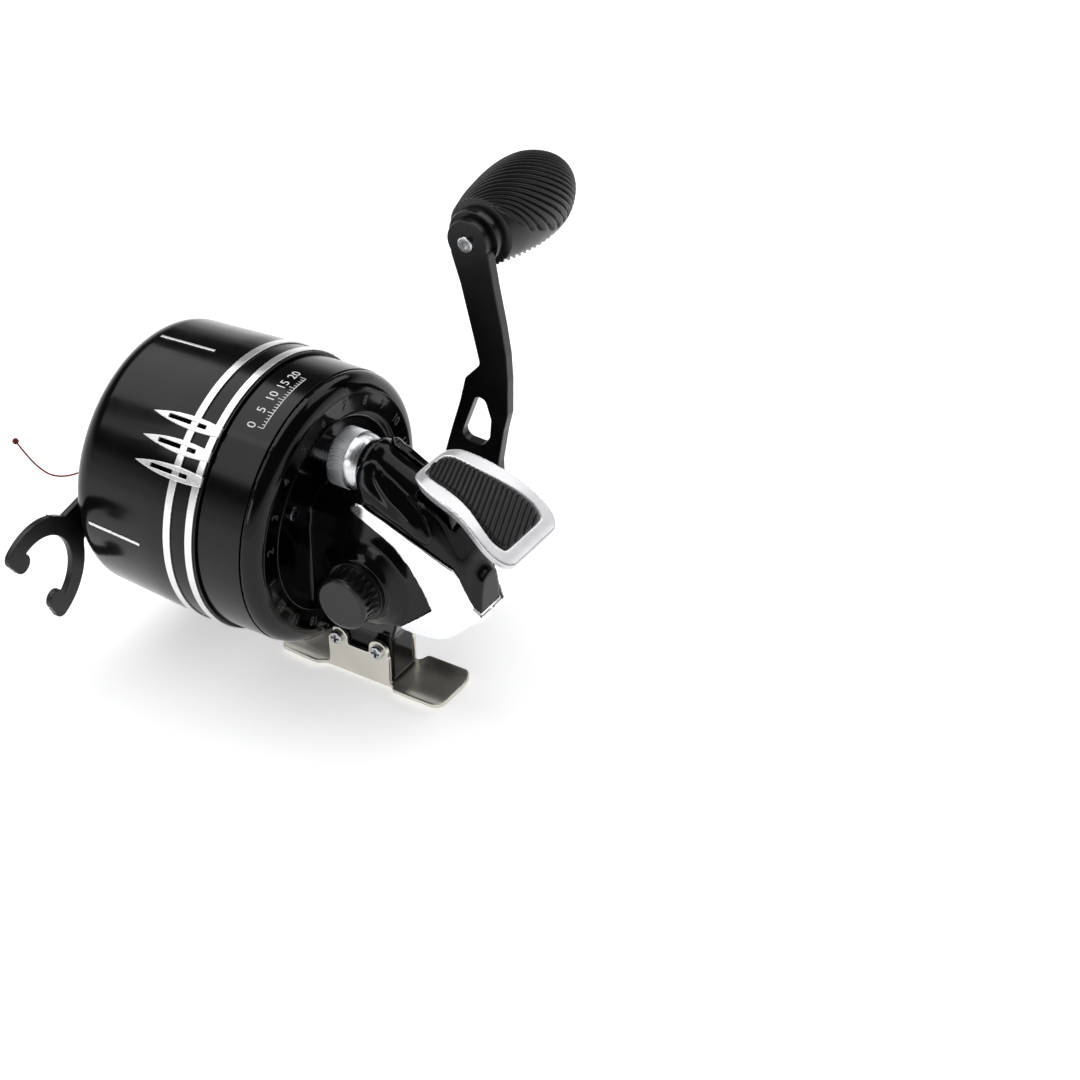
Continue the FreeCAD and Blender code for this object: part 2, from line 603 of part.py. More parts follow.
def spool_parts():
    """Spool with its wound line, the retainer on the hub and the drag pad behind it."""
    bore = "hub_radius + run_gap"
    rear, front = "spool_rear_y", "(spool_rear_y + spool_length)"
    turned("spool", [
        (rear, bore), (rear, "spool_flange"), (rear + " + spool_flange_depth", "spool_flange"),
        (rear + " + spool_flange_depth", "spool_arbor"), (front + " - spool_flange_depth", "spool_arbor"),
        (front + " - spool_flange_depth", "spool_flange"), (front, "spool_flange"), (front, bore)])
    tube("spool_line", rear + " + spool_flange_depth + seat", front + " - spool_flange_depth - seat",
         "spool_arbor + seat", "winding_radius")
    tube("spool_retainer", "hub_front_y", "hub_front_y + retainer_depth", "shaft_radius + play", "retainer_radius")
    tube("drag_pad", "deck_front_y", "deck_front_y + pad_depth", "pad_inner", "pad_outer")


# Centre shaft and the spinner head on it


def centre_shaft():
    """Push shaft with two flats, its thread in front and its button behind."""
    start, end = size("button_rear_y + button_depth / 2"), size("shaft_front_y")
    radius, flat = size("shaft_radius"), size("shaft_flat")
    flats_end = size("head_hub_rear_y")
    shaft = rod(radius, start, end, "Y")
    for side in (1, -1):
        low, high = sorted((side * flat, side * 2 * radius))
        shaft = shaft.cut(slab(low, high, size("button_rear_y + button_depth"), flats_end, -radius, radius))
    put("centre_shaft", shaft)
    turned("shaft_button", [
        ("button_rear_y", "0"), ("button_rear_y", "0.6 * button_radius"),
        ("button_rear_y + 0.3 * button_depth", "button_radius"), ("button_rear_y + button_depth", "button_radius"),
        ("button_rear_y + button_depth", "shaft_radius + seat"),
        ("button_rear_y + button_depth / 2", "shaft_radius + seat"), ("button_rear_y + button_depth / 2", "0")])


def spinner_head():
    """Cup that turns in front of the spool, with a boss for the pickup pin."""
    front = "head_disc_y + head_disc"
    body = turned("spinner_head_cup", [
        ("head_hub_rear_y", "shaft_radius + seat"), ("head_hub_rear_y", "head_hub"), ("head_disc_y", "head_hub"),
        ("head_disc_y", "head_radius - head_skirt"), ("head_rear_y", "head_radius - head_skirt"),
        ("head_rear_y", "head_radius"), (front + " - 1.2", "head_radius"), (front, "head_radius - 1.2"),
        (front, "head_hub"), ("head_hub_front_y", "head_hub"), ("head_hub_front_y", "shaft_radius + seat")])
    NODES.remove(body)
    doc.recompute()
    y, radius = size("pin_y"), size("pin_radius")
    boss = slab(-2 * radius, 2 * radius, size("head_rear_y + 0.4"), size("head_disc_y + 0.2"),
                size("pin_inner - 1"), size("head_radius - head_skirt / 2"))
    bore = rod(radius + size("run_gap"), 0, size("head_radius + 5"), "Z", 0, y)
    bore = bore.cut(rod(radius * 3, 0, size("pin_inner - 3"), "Z", 0, y))
    put("spinner_head", fused([body.Shape, boss]).cut(bore))
    pin = rod(radius, size("pin_inner"), size("pin_tip"), "Z", 0, y)
    put("pickup_pin", pin.makeFillet(0.4 * radius, [pin.Edges[0]]))
    start = size("head_hub_front_y")
    nut = hexagon(size("spinner_nut_flats"), start, start + size("spinner_nut_depth"), "Y")
    put("spinner_nut", nut.cut(rod(size("shaft_radius + seat"), start - 1, start + 9, "Y")))


# Crossed helical gears


def tooth_outline(teeth, helix):
    """Points of one transverse involute tooth, as angle from its middle and radius, root to tip."""
    module = size(MODULE)
    pitch = module * teeth / (2 * math.cos(helix))
    normal = math.radians(size("pressure_angle"))
    transverse = math.atan(math.tan(normal) / math.cos(helix))
    base = pitch * math.cos(transverse)
    thickness = (math.pi * module / 2 - size("tooth_backlash")) / math.cos(helix)
    half = thickness / (2 * pitch) + math.tan(transverse) - transverse
    root, tip = pitch - 1.25 * module, pitch + module
    points = []
    steps = 6
    low = max(root, base)
    for i in range(steps + 1):
        radius = low + (tip - low) * i / steps
        roll = math.acos(min(base / radius, 1))
        points.append((half - (math.tan(roll) - roll), radius))
    if root < base:
        points.insert(0, (points[0][0], root))
    return points, pitch


def gear_section(teeth, helix, turn):
    """Closed transverse outline of a gear in the XY plane, its first tooth on +Y at turn 0."""
    flank, _ = tooth_outline(teeth, helix)
    edges = []
    pitch_angle = 2 * math.pi / teeth

    def spot(angle, radius):
        return vector(-radius * math.sin(angle), radius * math.cos(angle), 0)

    for i in range(teeth):
        middle = turn + i * pitch_angle
        left = [spot(middle + a, r) for a, r in reversed(flank)]
        right = [spot(middle - a, r) for a, r in flank]
        following = spot(middle + pitch_angle - flank[0][0], flank[0][1])
        root_middle = spot(middle + pitch_angle / 2, flank[0][1])
        tip_middle = spot(middle, flank[-1][1])
        rise = Part.BSplineCurve()
        rise.interpolate(right)
        fall = Part.BSplineCurve()
        fall.interpolate(left)
        edges += [rise.toShape(), Part.Arc(right[-1], tip_middle, left[0]).toShape(), fall.toShape(),
                  Part.Arc(left[-1], root_middle, following).toShape()]
    return Part.Wire(edges)


def helical_gear(teeth, helix, face, turn):
    """Right-hand helical gear along Z, centred on the origin, by a loft through turned sections."""
    pitch = tooth_outline(teeth, helix)[1]
    twist = face * math.tan(helix) / pitch
    steps = max(4, math.ceil(math.degrees(twist) / 15))
    sections = []
    for i in range(steps + 1):
        share = i / steps - 0.5
        wire = gear_section(teeth, helix, turn + twist * share)
        wire.translate(vector(0, 0, face * share))
        sections.append(wire)
    return Part.makeLoft(sections, True, False)


def pinion():
    """Five-tooth pinion with a journal at each end and a flatted bore for the shaft."""
    helix = math.radians(size("pinion_helix"))
    gear = helical_gear(int(size("pinion_teeth")), helix, size("pinion_face"), math.pi)
    gear.rotate(vector(0, 0, 0), AXES["X"], 90)
    gear.translate(vector(0, size("crank_y"), 0))
    rear, front = size("bulkhead_front_y - bulkhead - 0.2"), size("pinion_front_y")
    journal = rod(size("journal_radius"), rear, front, "Y")
    bore = rod(size("shaft_radius + run_gap"), rear - 1, front + 1, "Y")
    flat, reach = size("shaft_flat + run_gap"), size("shaft_radius + 1")
    bore = bore.common(slab(-flat, flat, rear - 1, front + 1, -reach, reach))
    put("pinion_gear", fused([gear, journal]).cut(bore))
    tube("pinion_bush_front", "deck_front_y - deck_thickness - boss_length", "pinion_front_y + 0.1",
         "journal_radius + run_gap", "bush_outer")
    tube("pinion_bush_rear", "bulkhead_front_y - bulkhead", "bulkhead_front_y",
         "journal_radius + run_gap", "bush_outer")
    put("shaft_spring", coil(rear - size("run_gap"), size("button_rear_y + button_depth + run_gap")))


def coil(front, rear):
    """Return spring round the shaft, between the pinion's bush and the button."""
    wire, radius, halves = size("spring_wire"), size("shaft_radius + spring_room"), int(size("spring_half_turns"))
    length = front - rear - wire
    rise = length / (math.pi * halves)
    slope = math.hypot(radius, rise)
    arcs = []
    for i in range(halves):
        ends = [math.pi * (i + share) for share in (0, 1)]
        (start, toward), (end, onward) = [
            (vector(radius * math.cos(a), rise * a, -radius * math.sin(a)),
             vector(-radius * math.sin(a), rise, -radius * math.cos(a)) * (1 / slope)) for a in ends]
        arcs += biarc(start, toward, end, onward)
    profile = Part.Wire(Part.Circle(arcs[0].StartPoint, arcs[0].tangent(arcs[0].FirstParameter)[0],
                                    wire / 2).toShape())
    spine = Part.Wire([arc.toShape() for arc in arcs])
    spring = spine.makePipeShell([profile], True, False)
    spring.translate(vector(0, rear + wire / 2, 0))
    return spring


def biarc(start, toward, end, onward):
    """Two tangent arcs from a point and its direction to another point and its direction."""
    span, both = end - start, toward + onward
    closing = 2 * (1 - toward.dot(onward))
    reach = (-span.dot(both) + math.sqrt(span.dot(both) ** 2 + closing * span.dot(span))) / closing
    joint = (start + end + (toward - onward) * reach) * 0.5
    return [tangent_arc(start, toward, joint), tangent_arc(end, onward * -1, joint, True)]


def tangent_arc(start, toward, end, backwards=False):
    """Arc that leaves a point in a direction and ends at another point."""
    chord = end - start
    along = vector(chord.x, chord.y, chord.z).normalize()
    square = toward - along * toward.dot(along)
    bulge = math.tan(toward.getAngle(chord) / 2) * chord.Length / 2
    middle = start + chord * 0.5 + square.normalize() * bulge
    return Part.Arc(end, middle, start) if backwards else Part.Arc(start, middle, end)


def drive_gear():
    """Fifteen-tooth gear keyed on the crankshaft, in mesh with the pinion above it."""
    teeth = int(size("gear_teeth"))
    helix = math.radians(90 - size("pinion_helix"))
    gear = helical_gear(teeth, helix, size("gear_face"), math.pi / teeth)
    gear.rotate(vector(0, 0, 0), vector(1, 1, 1), 120)
    hub = rod(size("crankshaft_radius + 1.6"), -size("gear_face / 2 + 1"), size("gear_face / 2 + 1"), "X")
    bore = rod(size("crankshaft_radius + seat / 2"), -size("gear_face"), size("gear_face"), "X")
    put("drive_gear", fused([gear, hub]).cut(bore), (0, size("crank_y"), size("crank_z")))


# Crankshaft group


CRANK = {"y": "crank_y", "z": "crank_z"}


def crankshaft():
    """Shaft across the housing with a square for the arm and a thread for its nut."""
    y, z = size("crank_y"), size("crank_z")
    side = size("square_side / 2")
    arm_end = size("arm_x + arm_thickness")
    shaft = fused([rod(size("crankshaft_radius"), size("crankshaft_left_x"), size("arm_x"), "X", y, z),
                   slab(size("arm_x"), arm_end - 0.2, y - side, y + side, z - side, z + side),
                   rod(size("thread_radius"), arm_end - 0.5, arm_end + size("crank_nut_depth + 0.8"), "X", y, z)])
    put("crankshaft", shaft)
    tube("shaft_sleeve", "boss_right_x + play", "arm_x", "crankshaft_radius + seat", "sleeve_radius", "X", CRANK)
    nut = hexagon(size("crank_nut_flats"), arm_end, arm_end + size("crank_nut_depth"), "X", y, z)
    nut = nut.cut(rod(size("thread_radius + seat"), arm_end - 1, arm_end + 9, "X", y, z))
    put("crank_nut", nut)
    tube("crank_bush_left", "boss_left_x", "-housing_half + housing_wall", "crankshaft_radius + run_gap",
         "crank_bush_outer", "X", CRANK)
    tube("crank_bush_right", "housing_half - housing_wall", "boss_right_x", "crankshaft_radius + run_gap",
         "crank_bush_outer", "X", CRANK)
    tube("crank_clip", "crankshaft_left_x + 0.3", "crankshaft_left_x + 1.2", "crankshaft_radius + seat / 2",
         "clip_radius", "X", CRANK)


def ratchet_and_pawl():
    """Anti-reverse wheel on the crankshaft and the silent pawl beside it."""
    teeth, tip = int(size("ratchet_teeth")), size("ratchet_radius")
    root = tip - size("ratchet_depth")
    start = size("ratchet_x")
    end = start + size("ratchet_thickness")
    corners = []
    for i in range(teeth):
        angle = math.radians(size("ratchet_phase")) + 2 * math.pi * i / teeth
        for radius in (tip, root):
            corners.append((radius * math.cos(angle), radius * math.sin(angle)))
    wheel = polygon("YZ", corners, start, end)
    wheel = wheel.cut(rod(size("crankshaft_radius + seat / 2"), start - 1, end + 1, "X"))
    put("ratchet_wheel", wheel, (0, size("crank_y"), size("crank_z")))
    y, z = size("pawl_y"), size("pawl_z")
    wall = size("housing_half - housing_wall")
    hub, reach = size("pawl_hub"), size("pawl_reach")
    angle = math.radians(size("pawl_angle"))
    along = (math.cos(angle), math.sin(angle))
    side = (-along[1], along[0])

    def spot(ahead, across):
        return (y + along[0] * ahead + side[0] * across, z + along[1] * ahead + side[1] * across)

    nose = polygon("YZ", [spot(0, hub), spot(reach, 0.2 * hub), spot(reach, -0.25 * hub), spot(0, -hub)],
                   start + 0.1, end - 0.1)
    pawl = fused([nose, rod(hub, start + 0.1, end - 0.1, "X", y, z)])
    put("pawl", pawl.cut(rod(size("pawl_bore"), start - 1, end + 1, "X", y, z)))
    stud = fused([rod(size("pawl_bore - run_gap"), start - 0.6, wall, "X", y, z),
                  rod(hub, end + 0.2, wall, "X", y, z)])
    put("pawl_stud", stud)


# Rear cover


def tail_width(y):
    """Half width of the housing's plan at a station, without any offset."""
    centre, half, tail = size("housing_centre_y"), size("housing_half"), size("tail_half")
    share = min(max((centre - y) / (centre - size("housing_rear_y")), 0), 1)
    return tail + (half - tail) * (1 - share ** size("tail_power"))


def housing_plan(low, high, grow=0.0):
    """Prism of the housing's plan: straight sides and a rounded tail, offset outwards by grow."""
    front, centre, rear = size("floor_y") + 0.1, size("housing_centre_y"), size("housing_rear_y")
    steps = 7
    flank = []
    for i in range(steps + 1):
        share = i / steps
        y = centre + (rear - centre) * share
        flank.append(vector(tail_width(y) + grow, y - grow * share, low))
    curve = Part.BSplineCurve()
    curve.interpolate(flank)
    twin = curve.toShape().mirror(vector(0, 0, 0), AXES["X"])
    left = [vector(-size("housing_half") - grow, y, low) for y in (centre, front)]
    head = Part.makePolygon(left + [vector(-spot.x, spot.y, low) for spot in reversed(left)])
    back = Part.makeLine(flank[-1], vector(-flank[-1].x, flank[-1].y, low))
    face = Part.Face(Part.Wire(Part.__sortEdges__(head.Edges + [curve.toShape(), back, twin])))
    return face.extrude(vector(0, 0, high - low))


SHOULDER_LINE = [(-32.4, 13.0), (-35.6, 13.4), (-39.8, 11.7), (-45.3, 9.4), (-48.5, 8.2), (-52.7, 6.3),
                 (-56.9, 3.6), (-60.8, 0.9), (-63.8, -6.5), (-67.0, -12.5)]
CROWN_LINE = [26.3, 24.9, 22.4, 19.6, 18.3, 17.3, 14.6, 8.4, 3.2, -2.0]
BELLY_LINE = [(-67.0, -13.0), (-65.0, -13.0), (-62.2, -15.4), (-59.6, -18.0), (-57.4, -19.8), (-55.6, -20.8),
              (-51.7, -21.6), (-45.5, -21.3), (-39.7, -22.2), (-35.0, -22.8), (-17.9, -22.8)]


def housing_side():
    """Side outline of the gear housing as stations and heights."""
    return [(-17.9, 10.0), (-30.8, 10.0), (-31.6, 12.0)] + SHOULDER_LINE + BELLY_LINE


def below_belly():
    """Prism of the room under the housing's tail, where the fairing's skirt must not reach."""
    tail = BELLY_LINE[:6]
    deep, behind = 20, 8
    return polygon("YZ", [(tail[0][0] - behind, tail[0][1])] + tail
                   + [(tail[-1][0], tail[-1][1] - deep), (tail[0][0] - behind, tail[-1][1] - deep)], -30, 30)


def fairing():
    """Arched fairing that rises from the housing's shoulders to the crown."""
    wires = []
    start = SHOULDER_LINE[0][0]
    for (y, shoulder), crown in zip(SHOULDER_LINE, CROWN_LINE):
        wide = min(tail_width(y) - 0.3, size("fairing_front_half") + 0.5 * (start - y))
        top = min(size("crown_half"), 0.8 * wide)
        edge = crown - size("crown_drop") * top / size("crown_half")
        middle = ((wide + top) / 2 + 0.5, (shoulder + edge) / 2 + 0.5)
        right = [(wide, shoulder), middle, (top, edge), (0.5 * top, crown - 0.25 * (crown - edge))]
        spots = [vector(-x, y, z) for x, z in right] + [vector(0, y, crown)]
        spots += [vector(x, y, z) for x, z in reversed(right)]
        spots += [vector(wide, y, shoulder - 3), vector(-wide, y, shoulder - 3)]
        wires.append(Part.makePolygon(spots + spots[:1]))
    return Part.makeLoft(wires, True, False).cut(below_belly())


def rear_ring():
    """Ring with a rounded outer edge, a dish and a floor, open to the front."""
    outer, corner, wall = size("collar_radius - 0.1"), size("ring_corner"), size("rear_wall")
    front, back, dish = size("collar_rear_y"), size("ring_rear_y"), size("dish_radius")
    floor = size("floor_y")
    steps = 6
    curve = [(back + corner * (1 - math.cos(math.pi / 2 * i / steps)),
              outer - corner * (1 - math.sin(math.pi / 2 * i / steps))) for i in range(steps + 1)]
    bead, low = size("bead_width"), back - size("bead_height")
    start = outer - corner
    beads = [(back, dish), (low, dish + 0.3 * bead), (low, dish + 0.7 * bead), (back, dish + bead),
             (back, start - bead), (low, start - 0.7 * bead), (low, start - 0.3 * bead)]
    outside = [(floor, 0), (floor, dish - 0.8)] + beads + curve + [(front, outer)]
    inside = [(front, outer - wall), (back + wall + 0.6, outer - wall), (back + wall, outer - wall - 1.4),
              (back + wall, dish), (floor + wall, dish - 0.8), (floor + wall, 0)]
    return spun(outside + inside, "Y")


def foot_stem():
    """Tapering stem from the housing down into the steel foot."""
    def rectangle(half, front, rear, level):
        spots = [vector(-half, front, level), vector(half, front, level),
                 vector(half, rear, level), vector(-half, rear, level)]
        return Part.makePolygon(spots + spots[:1])

    half, front, rear = size("stem_half"), size("stem_front_y"), size("stem_rear_y")
    neck = size("stem_neck_z")
    top = Part.makeLoft([rectangle(size("stem_top_half"), front, rear - 5, -21.0),
                         rectangle(half, front, rear, neck)], True, True)
    return fused([top, slab(-half, half, rear, front, size("stem_floor"), neck)])


def side_boss(end, side):
    """Boss round the crankshaft on one side wall, flared where it meets the wall."""
    wall, face = side * size("housing_half"), size(end)
    flare = wall + side * 2.5
    boss = spun([(side * size("housing_half - housing_wall"), 0), (side * size("housing_half - housing_wall"), 9.0),
                 (wall, size("boss_foot_radius")), (flare, size("side_boss_radius")),
                 (face, size("side_boss_radius")), (face, 0)], "X")
    boss.translate(vector(0, size("crank_y"), size("crank_z")))
    return boss


def rear_cover():
    """Ring, housing, spine and stem as one moulding, with its rooms, bores and bosses."""
    inner = size("housing_half - housing_wall")
    block = polygon("YZ", housing_side(), -30, 30).common(housing_plan(-30, 40))
    for side in (1, -1):
        flank = size("housing_half")
        corner = [(side * (flank - 6.4), 11), (side * (flank + 3.1), 11), (side * (flank + 3.1), 0.5),
                  (side * (flank - 0.3), 0.5), (side * (flank - 1.3), 6.0), (side * (flank - 5.9), 10.0)]
        block = block.cut(polygon("XZ", corner, -30.8, -17))
    bosses = [side_boss("boss_left_x", -1), side_boss("boss_right_x", 1)]
    bosses = [boss.common(slab(-30, 30, -60, size("floor_y"), -30, 30)) for boss in bosses]
    solid = fused([rear_ring(), block, fairing(), foot_stem()] + bosses)
    solid = solid.cut(Part.makeCompound(rear_cover_cuts(inner)))
    put("rear_cover", solid)


def rear_cover_cuts(inner):
    """Rooms and bores of the rear cover."""
    y, z = size("crank_y"), size("crank_z")
    shoulder = size("bulkhead_front_y")
    back = shoulder - size("bulkhead")
    half, rear = size("lever_room_half"), size("lever_room_rear_y")
    screw = size("shank + thread_gap")
    slot = size("pivot_y - lever_hub - play")
    cuts = [slab(-inner, inner, shoulder, -15, size("gear_room_floor"), size("gear_room_top")),
            rod(size("boss_radius + play"), size("deck_front_y - deck_thickness - boss_length - play"), -15, "Y"),
            slab(-half, half, rear, back, size("lever_room_floor"), size("lever_room_top")),
            slab(-half, half, slot, size("lever_slot_front_y"), 0, 40),
            rod(size("bush_outer + thread_gap"), back - 1, shoulder + 1, "Y"),
            rod(size("crank_bush_outer + thread_gap"), size("boss_left_x - 1"), -inner + 1, "X", y, z),
            rod(size("crank_bush_outer + thread_gap"), inner - 1, size("boss_right_x + 1"), "X", y, z),
            rod(size("drag_screw + 0.3"), -26, -14, "Y", 0, size("wheel_z")),
            rod(size("lever_pin + seat"), -size("lever_pin_half + seat"), size("lever_pin_half + seat"), "X",
                size("pivot_y"), size("pivot_z"))]
    for x, level in cover_screw_spots():
        cuts.append(rod(screw, -26, -14, "Y", size(x), size(level)))
        cuts.append(rod(size("pan_head + 0.4"), -26, size("floor_y"), "Y", size(x), size(level)))
    for station in ("foot_screw_front_y", "foot_screw_rear_y"):
        cuts.append(rod(screw, -12, 12, "X", size(station), size("foot_screw_z")))
    return cuts


def cover_screws():
    head = size("floor_y")
    put("cover_screws", Part.makeCompound([
        pan_screw(size("cover_shank"), (size(x), head, size(z)), (0, -1, 0)) for x, z in cover_screw_spots()]))


def trim_side():
    """Side outline of the chrome trims: a blade that widens into the tail and wraps under it."""
    upper = [(-32.4, 12.6), (-33.8, 13.8), (-36.2, 14.1), (-38.0, 13.1), (-42.8, 11.5), (-49.1, 9.0),
             (-53.3, 7.0), (-57.4, 4.3), (-61.2, 1.5), (-62.5, -1.0), (-64.2, -5.9), (-65.7, -10.1), (-67.6, -12.9)]
    lower = [(-69.0, -12.9), (-69.0, -14.4), (-67.1, -14.4), (-64.9, -15.9), (-62.6, -18.2), (-60.2, -20.1),
             (-57.2, -21.2), (-52.3, -21.3), (-46.1, -20.4), (-49.5, -17.5), (-52.5, -14.9), (-55.7, -12.1),
             (-53.9, -7.3), (-51.8, -3.4), (-49.4, 0.1), (-44.9, 4.3), (-42.0, 6.3), (-38.3, 8.1),
             (-34.7, 9.7), (-32.3, 11.5)]
    return upper + lower


def trims():
    """Chrome trims that hug the housing's sides."""
    outer = housing_plan(-30, 30, size("trim_thickness"))
    inner = housing_plan(-31, 31, size("seat"))
    shell = polygon("YZ", trim_side(), -30, 30).common(outer).cut(inner)
    half = size("tail_half")
    shell = shell.cut(slab(-0.5, 0.5, -90, -10, -40, 40))
    shell = shell.cut(slab(-half, half, -90, -60, size("trim_meeting_z"), 40))
    sides = {"trim_right": 1, "trim_left": -1}
    for label, side in sides.items():
        put(label, max([solid for solid in shell.Solids if side * solid.CenterOfMass.x > 0],
                       key=lambda solid: solid.Volume))


def side_cap():
    """Ribbed cap screwed over the crankshaft's left end."""
    face, radius, chamfer = size("cap_face_x"), size("cap_radius"), size("cap_chamfer")
    seat, wall = size("boss_left_x"), size("cap_wall")
    flange = seat - size("cap_flange_depth")
    cap = spun([(face, 0), (face, radius - chamfer), (face + 0.6, radius), (flange, radius),
                (flange, size("cap_flange")), (seat, size("cap_flange")), (seat, radius - wall),
                (face + wall, radius - wall), (face + wall, 0)], "X")
    cutters = []
    count = int(size("cap_ribs"))
    for i in range(count):
        angle = 2 * math.pi * i / count
        reach = radius + 0.2
        cutters.append(rod(size("cap_groove"), face + 1.6, flange - 0.5, "X",
                           reach * math.cos(angle), reach * math.sin(angle)))
    put("side_cap", cap.cut(Part.makeCompound(cutters)), (0, size("crank_y"), size("crank_z")))


def drag_parts():
    """Knurled drag wheel behind the dish and the screw that presses the pad."""
    front = "wheel_front_y"
    turned("drag_wheel", [
        ("floor_y - play", "drag_screw + seat"), ("floor_y - play", "wheel_neck"), (front, "wheel_neck"),
        (front, "wheel_radius - 0.3"), (front + " - 0.3", "wheel_radius"),
        (front + " - knurl_depth", "wheel_radius"), (front + " - wheel_depth + 0.6", "wheel_end_radius"),
        (front + " - wheel_depth", "wheel_end_radius - 0.6"), (front + " - wheel_depth", "0"),
        (front + " - 0.6 * wheel_depth", "0"), (front + " - 0.6 * wheel_depth", "drag_screw + seat")],
        "Y", {"z": "wheel_z"})
    tube_end = "wheel_front_y - 0.6 * wheel_depth"
    turned("drag_screw", [(tube_end, "0"), ("deck_front_y - 0.1", "0"), ("deck_front_y - 0.1", "drag_screw - 0.5"),
                          ("deck_front_y - 0.6", "drag_screw"), (tube_end, "drag_screw")], "Y", {"z": "wheel_z"})


# Crank arm and knob


def crank_arm():
    """Curved flat arm with a window, a square hub hole and the knob's hole."""
    y, z = size("crank_y"), size("crank_z")
    start = size("arm_x")
    end = start + size("arm_thickness")
    top = z + size("arm_length")
    hub, tip = size("arm_hub"), size("arm_end")
    blade = soft_plate("YZ", [
        (y + 5.81, top - 1.88), (y + 2.4, top - 12.4), (y - 1.3, top - 27.8), (y - 3.1, top - 35.6),
        (y + 1.7, z + 34.8), (y + 3.5, z + 27.2), (y + 6.2, z + 18.4), (y + hub, z + 10.0), (y + hub, z),
        (y - hub, z), (y - 8.4, z + 11.1), (y - 10.2, z + 21.6), (y - 11.6, z + 27.2), (y - 11.8, z + 37.7),
        (y - 11.4, z + 45.3), (y - 10.1, top - 22.0), (y - 8.3, top - 12.8), (y - 7.0, top - 5.1),
        (y - 6.1, top)], 2.4, start, end)
    window = soft_plate("YZ", [
        (y - 1.5, z + 30.0), (y - 4.4, z + 29.9), (y - 6.2, z + 24.1), (y - 5.7, z + 18.4),
        (y - 3.6, z + 15.0), (y + 3.9, z + 15.4)], size("window_corner"), start - 1, end + 1)
    arm = fused([blade, rod(hub, start, end, "X", y, z), rod(tip, start, end, "X", y, top)])
    side = size("square_side / 2 + seat")
    arm = arm.cut(window).cut(slab(start - 1, end + 1, y - side, y + side, z - side, z + side))
    arm = arm.cut(rod(size("knob_screw + seat"), start - 1, end + 1, "X", y, top))
    put("crank_arm", arm)


KNOB = {"y": "crank_y", "z": "crank_z + arm_length"}


def knob():
    """Spindle screw, collar, core and rubber grip of the crank knob."""
    y, z = size("crank_y"), size("crank_z + arm_length")
    face, end = size("arm_x"), size("arm_x + arm_thickness")
    start = end + size("knob_collar_depth") + 0.2
    core_end = start + size("core_length")
    head = rod(size("knob_screw_head"), face - size("knob_screw_head_depth"), face, "X", y, z)
    head = head.makeFillet(0.4, [head.Edges[2]])
    socket = hexagon(size("knob_screw_head"), face - 2, face - 0.5, "X", y, z)
    flange = rod(size("knob_screw + 1.2"), core_end + 0.3, core_end + 1.5, "X", y, z)
    put("knob_screw", fused([head.cut(socket), rod(size("knob_screw"), face, core_end + 0.5, "X", y, z), flange]))
    tube("knob_collar", "arm_x + arm_thickness", "arm_x + arm_thickness + knob_collar_depth",
         "knob_screw + seat", "knob_collar", "X", KNOB)
    tube("knob_core", "arm_x + arm_thickness + knob_collar_depth + 0.2",
         "arm_x + arm_thickness + knob_collar_depth + 0.2 + core_length", "knob_screw + run_gap",
         "knob_core", "X", KNOB)
    put("knob_grip", knob_grip(start, core_end), (0, y, z))


def knob_grip(start, core_end):
    """Egg-shaped grip: a turned spline with room for the core."""
    length, neck, belly = size("knob_length"), size("knob_neck"), size("knob_belly")
    tip = start + length
    curve = Part.BSplineCurve()
    curve.interpolate([vector(start, 0, neck), vector(start + 0.18 * length, 0, 0.4 * neck + 0.6 * belly),
                       vector(start + 0.45 * length, 0, belly), vector(start + 0.66 * length, 0, 0.94 * belly),
                       vector(start + 0.82 * length, 0, 0.72 * belly), vector(start + 0.92 * length, 0, 0.45 * belly),
                       vector(tip, 0, 0)])
    room, end = size("knob_core + seat"), core_end + 2.0
    lines = Part.makePolygon([vector(tip, 0, 0), vector(end, 0, 0), vector(end, 0, room), vector(start, 0, room),
                              vector(start, 0, neck)])
    face = Part.Face(Part.Wire([curve.toShape()] + lines.Edges))
    return face.revolve(vector(0, 0, 0), AXES["X"], 360)


# Thumb lever


def pedal_stations():
    """Stations of the pedal as place, height of its top edge and half width."""
    return [(-48.6, 24.8, 4.2), (-49.1, 25.0, 6.2), (-50.2, 25.3, 7.9), (-52.0, 25.4, 9.2),
            (-55.0, 24.8, 10.3), (-60.0, 23.5, 11.2), (-65.0, 21.8, 11.7), (-70.0, 19.0, 12.6),
            (-75.0, 15.3, 13.3), (-78.0, 13.0, 12.8), (-79.8, 11.6, 11.5), (-80.7, 11.0, 9.9), (-81.0, 10.8, 8.0)]


def pad_stations():
    """Stations of the rubber insert, within the pedal's rim."""
    return [(-50.6, 25.4, 3.6), (-53.0, 25.5, 5.2), (-57.0, 24.9, 5.6), (-62.0, 23.4, 6.2),
            (-67.0, 21.1, 7.4), (-71.0, 18.6, 8.7), (-75.0, 15.6, 9.3), (-77.6, 13.7, 8.2)]


def pedal_normal(stations, i):
    """Unit direction square to the pedal's top at a station, pointing up."""
    back, ahead = stations[max(i - 1, 0)], stations[min(i + 1, len(stations) - 1)]
    run = vector(0, ahead[0] - back[0], ahead[1] - back[1]).normalize()
    return vector(0, run.z, -run.y) if run.y < 0 else vector(0, -run.z, run.y)


def curved_slab(stations, above, below, taper):
    """Smooth loft through cross sections from above the top line to below it."""
    wires = []
    for i, (y, z, half) in enumerate(stations):
        up = pedal_normal(stations, i)
        top, low = vector(0, y, z) + up * above, vector(0, y, z) - up * below
        side, foot = vector(half, 0, 0), vector(half - taper, 0, 0)
        spots = [top - side, top + side, low + foot, low - foot]
        wires.append(Part.makePolygon(spots + spots[:1]))
    return Part.makeLoft(wires, True, False)


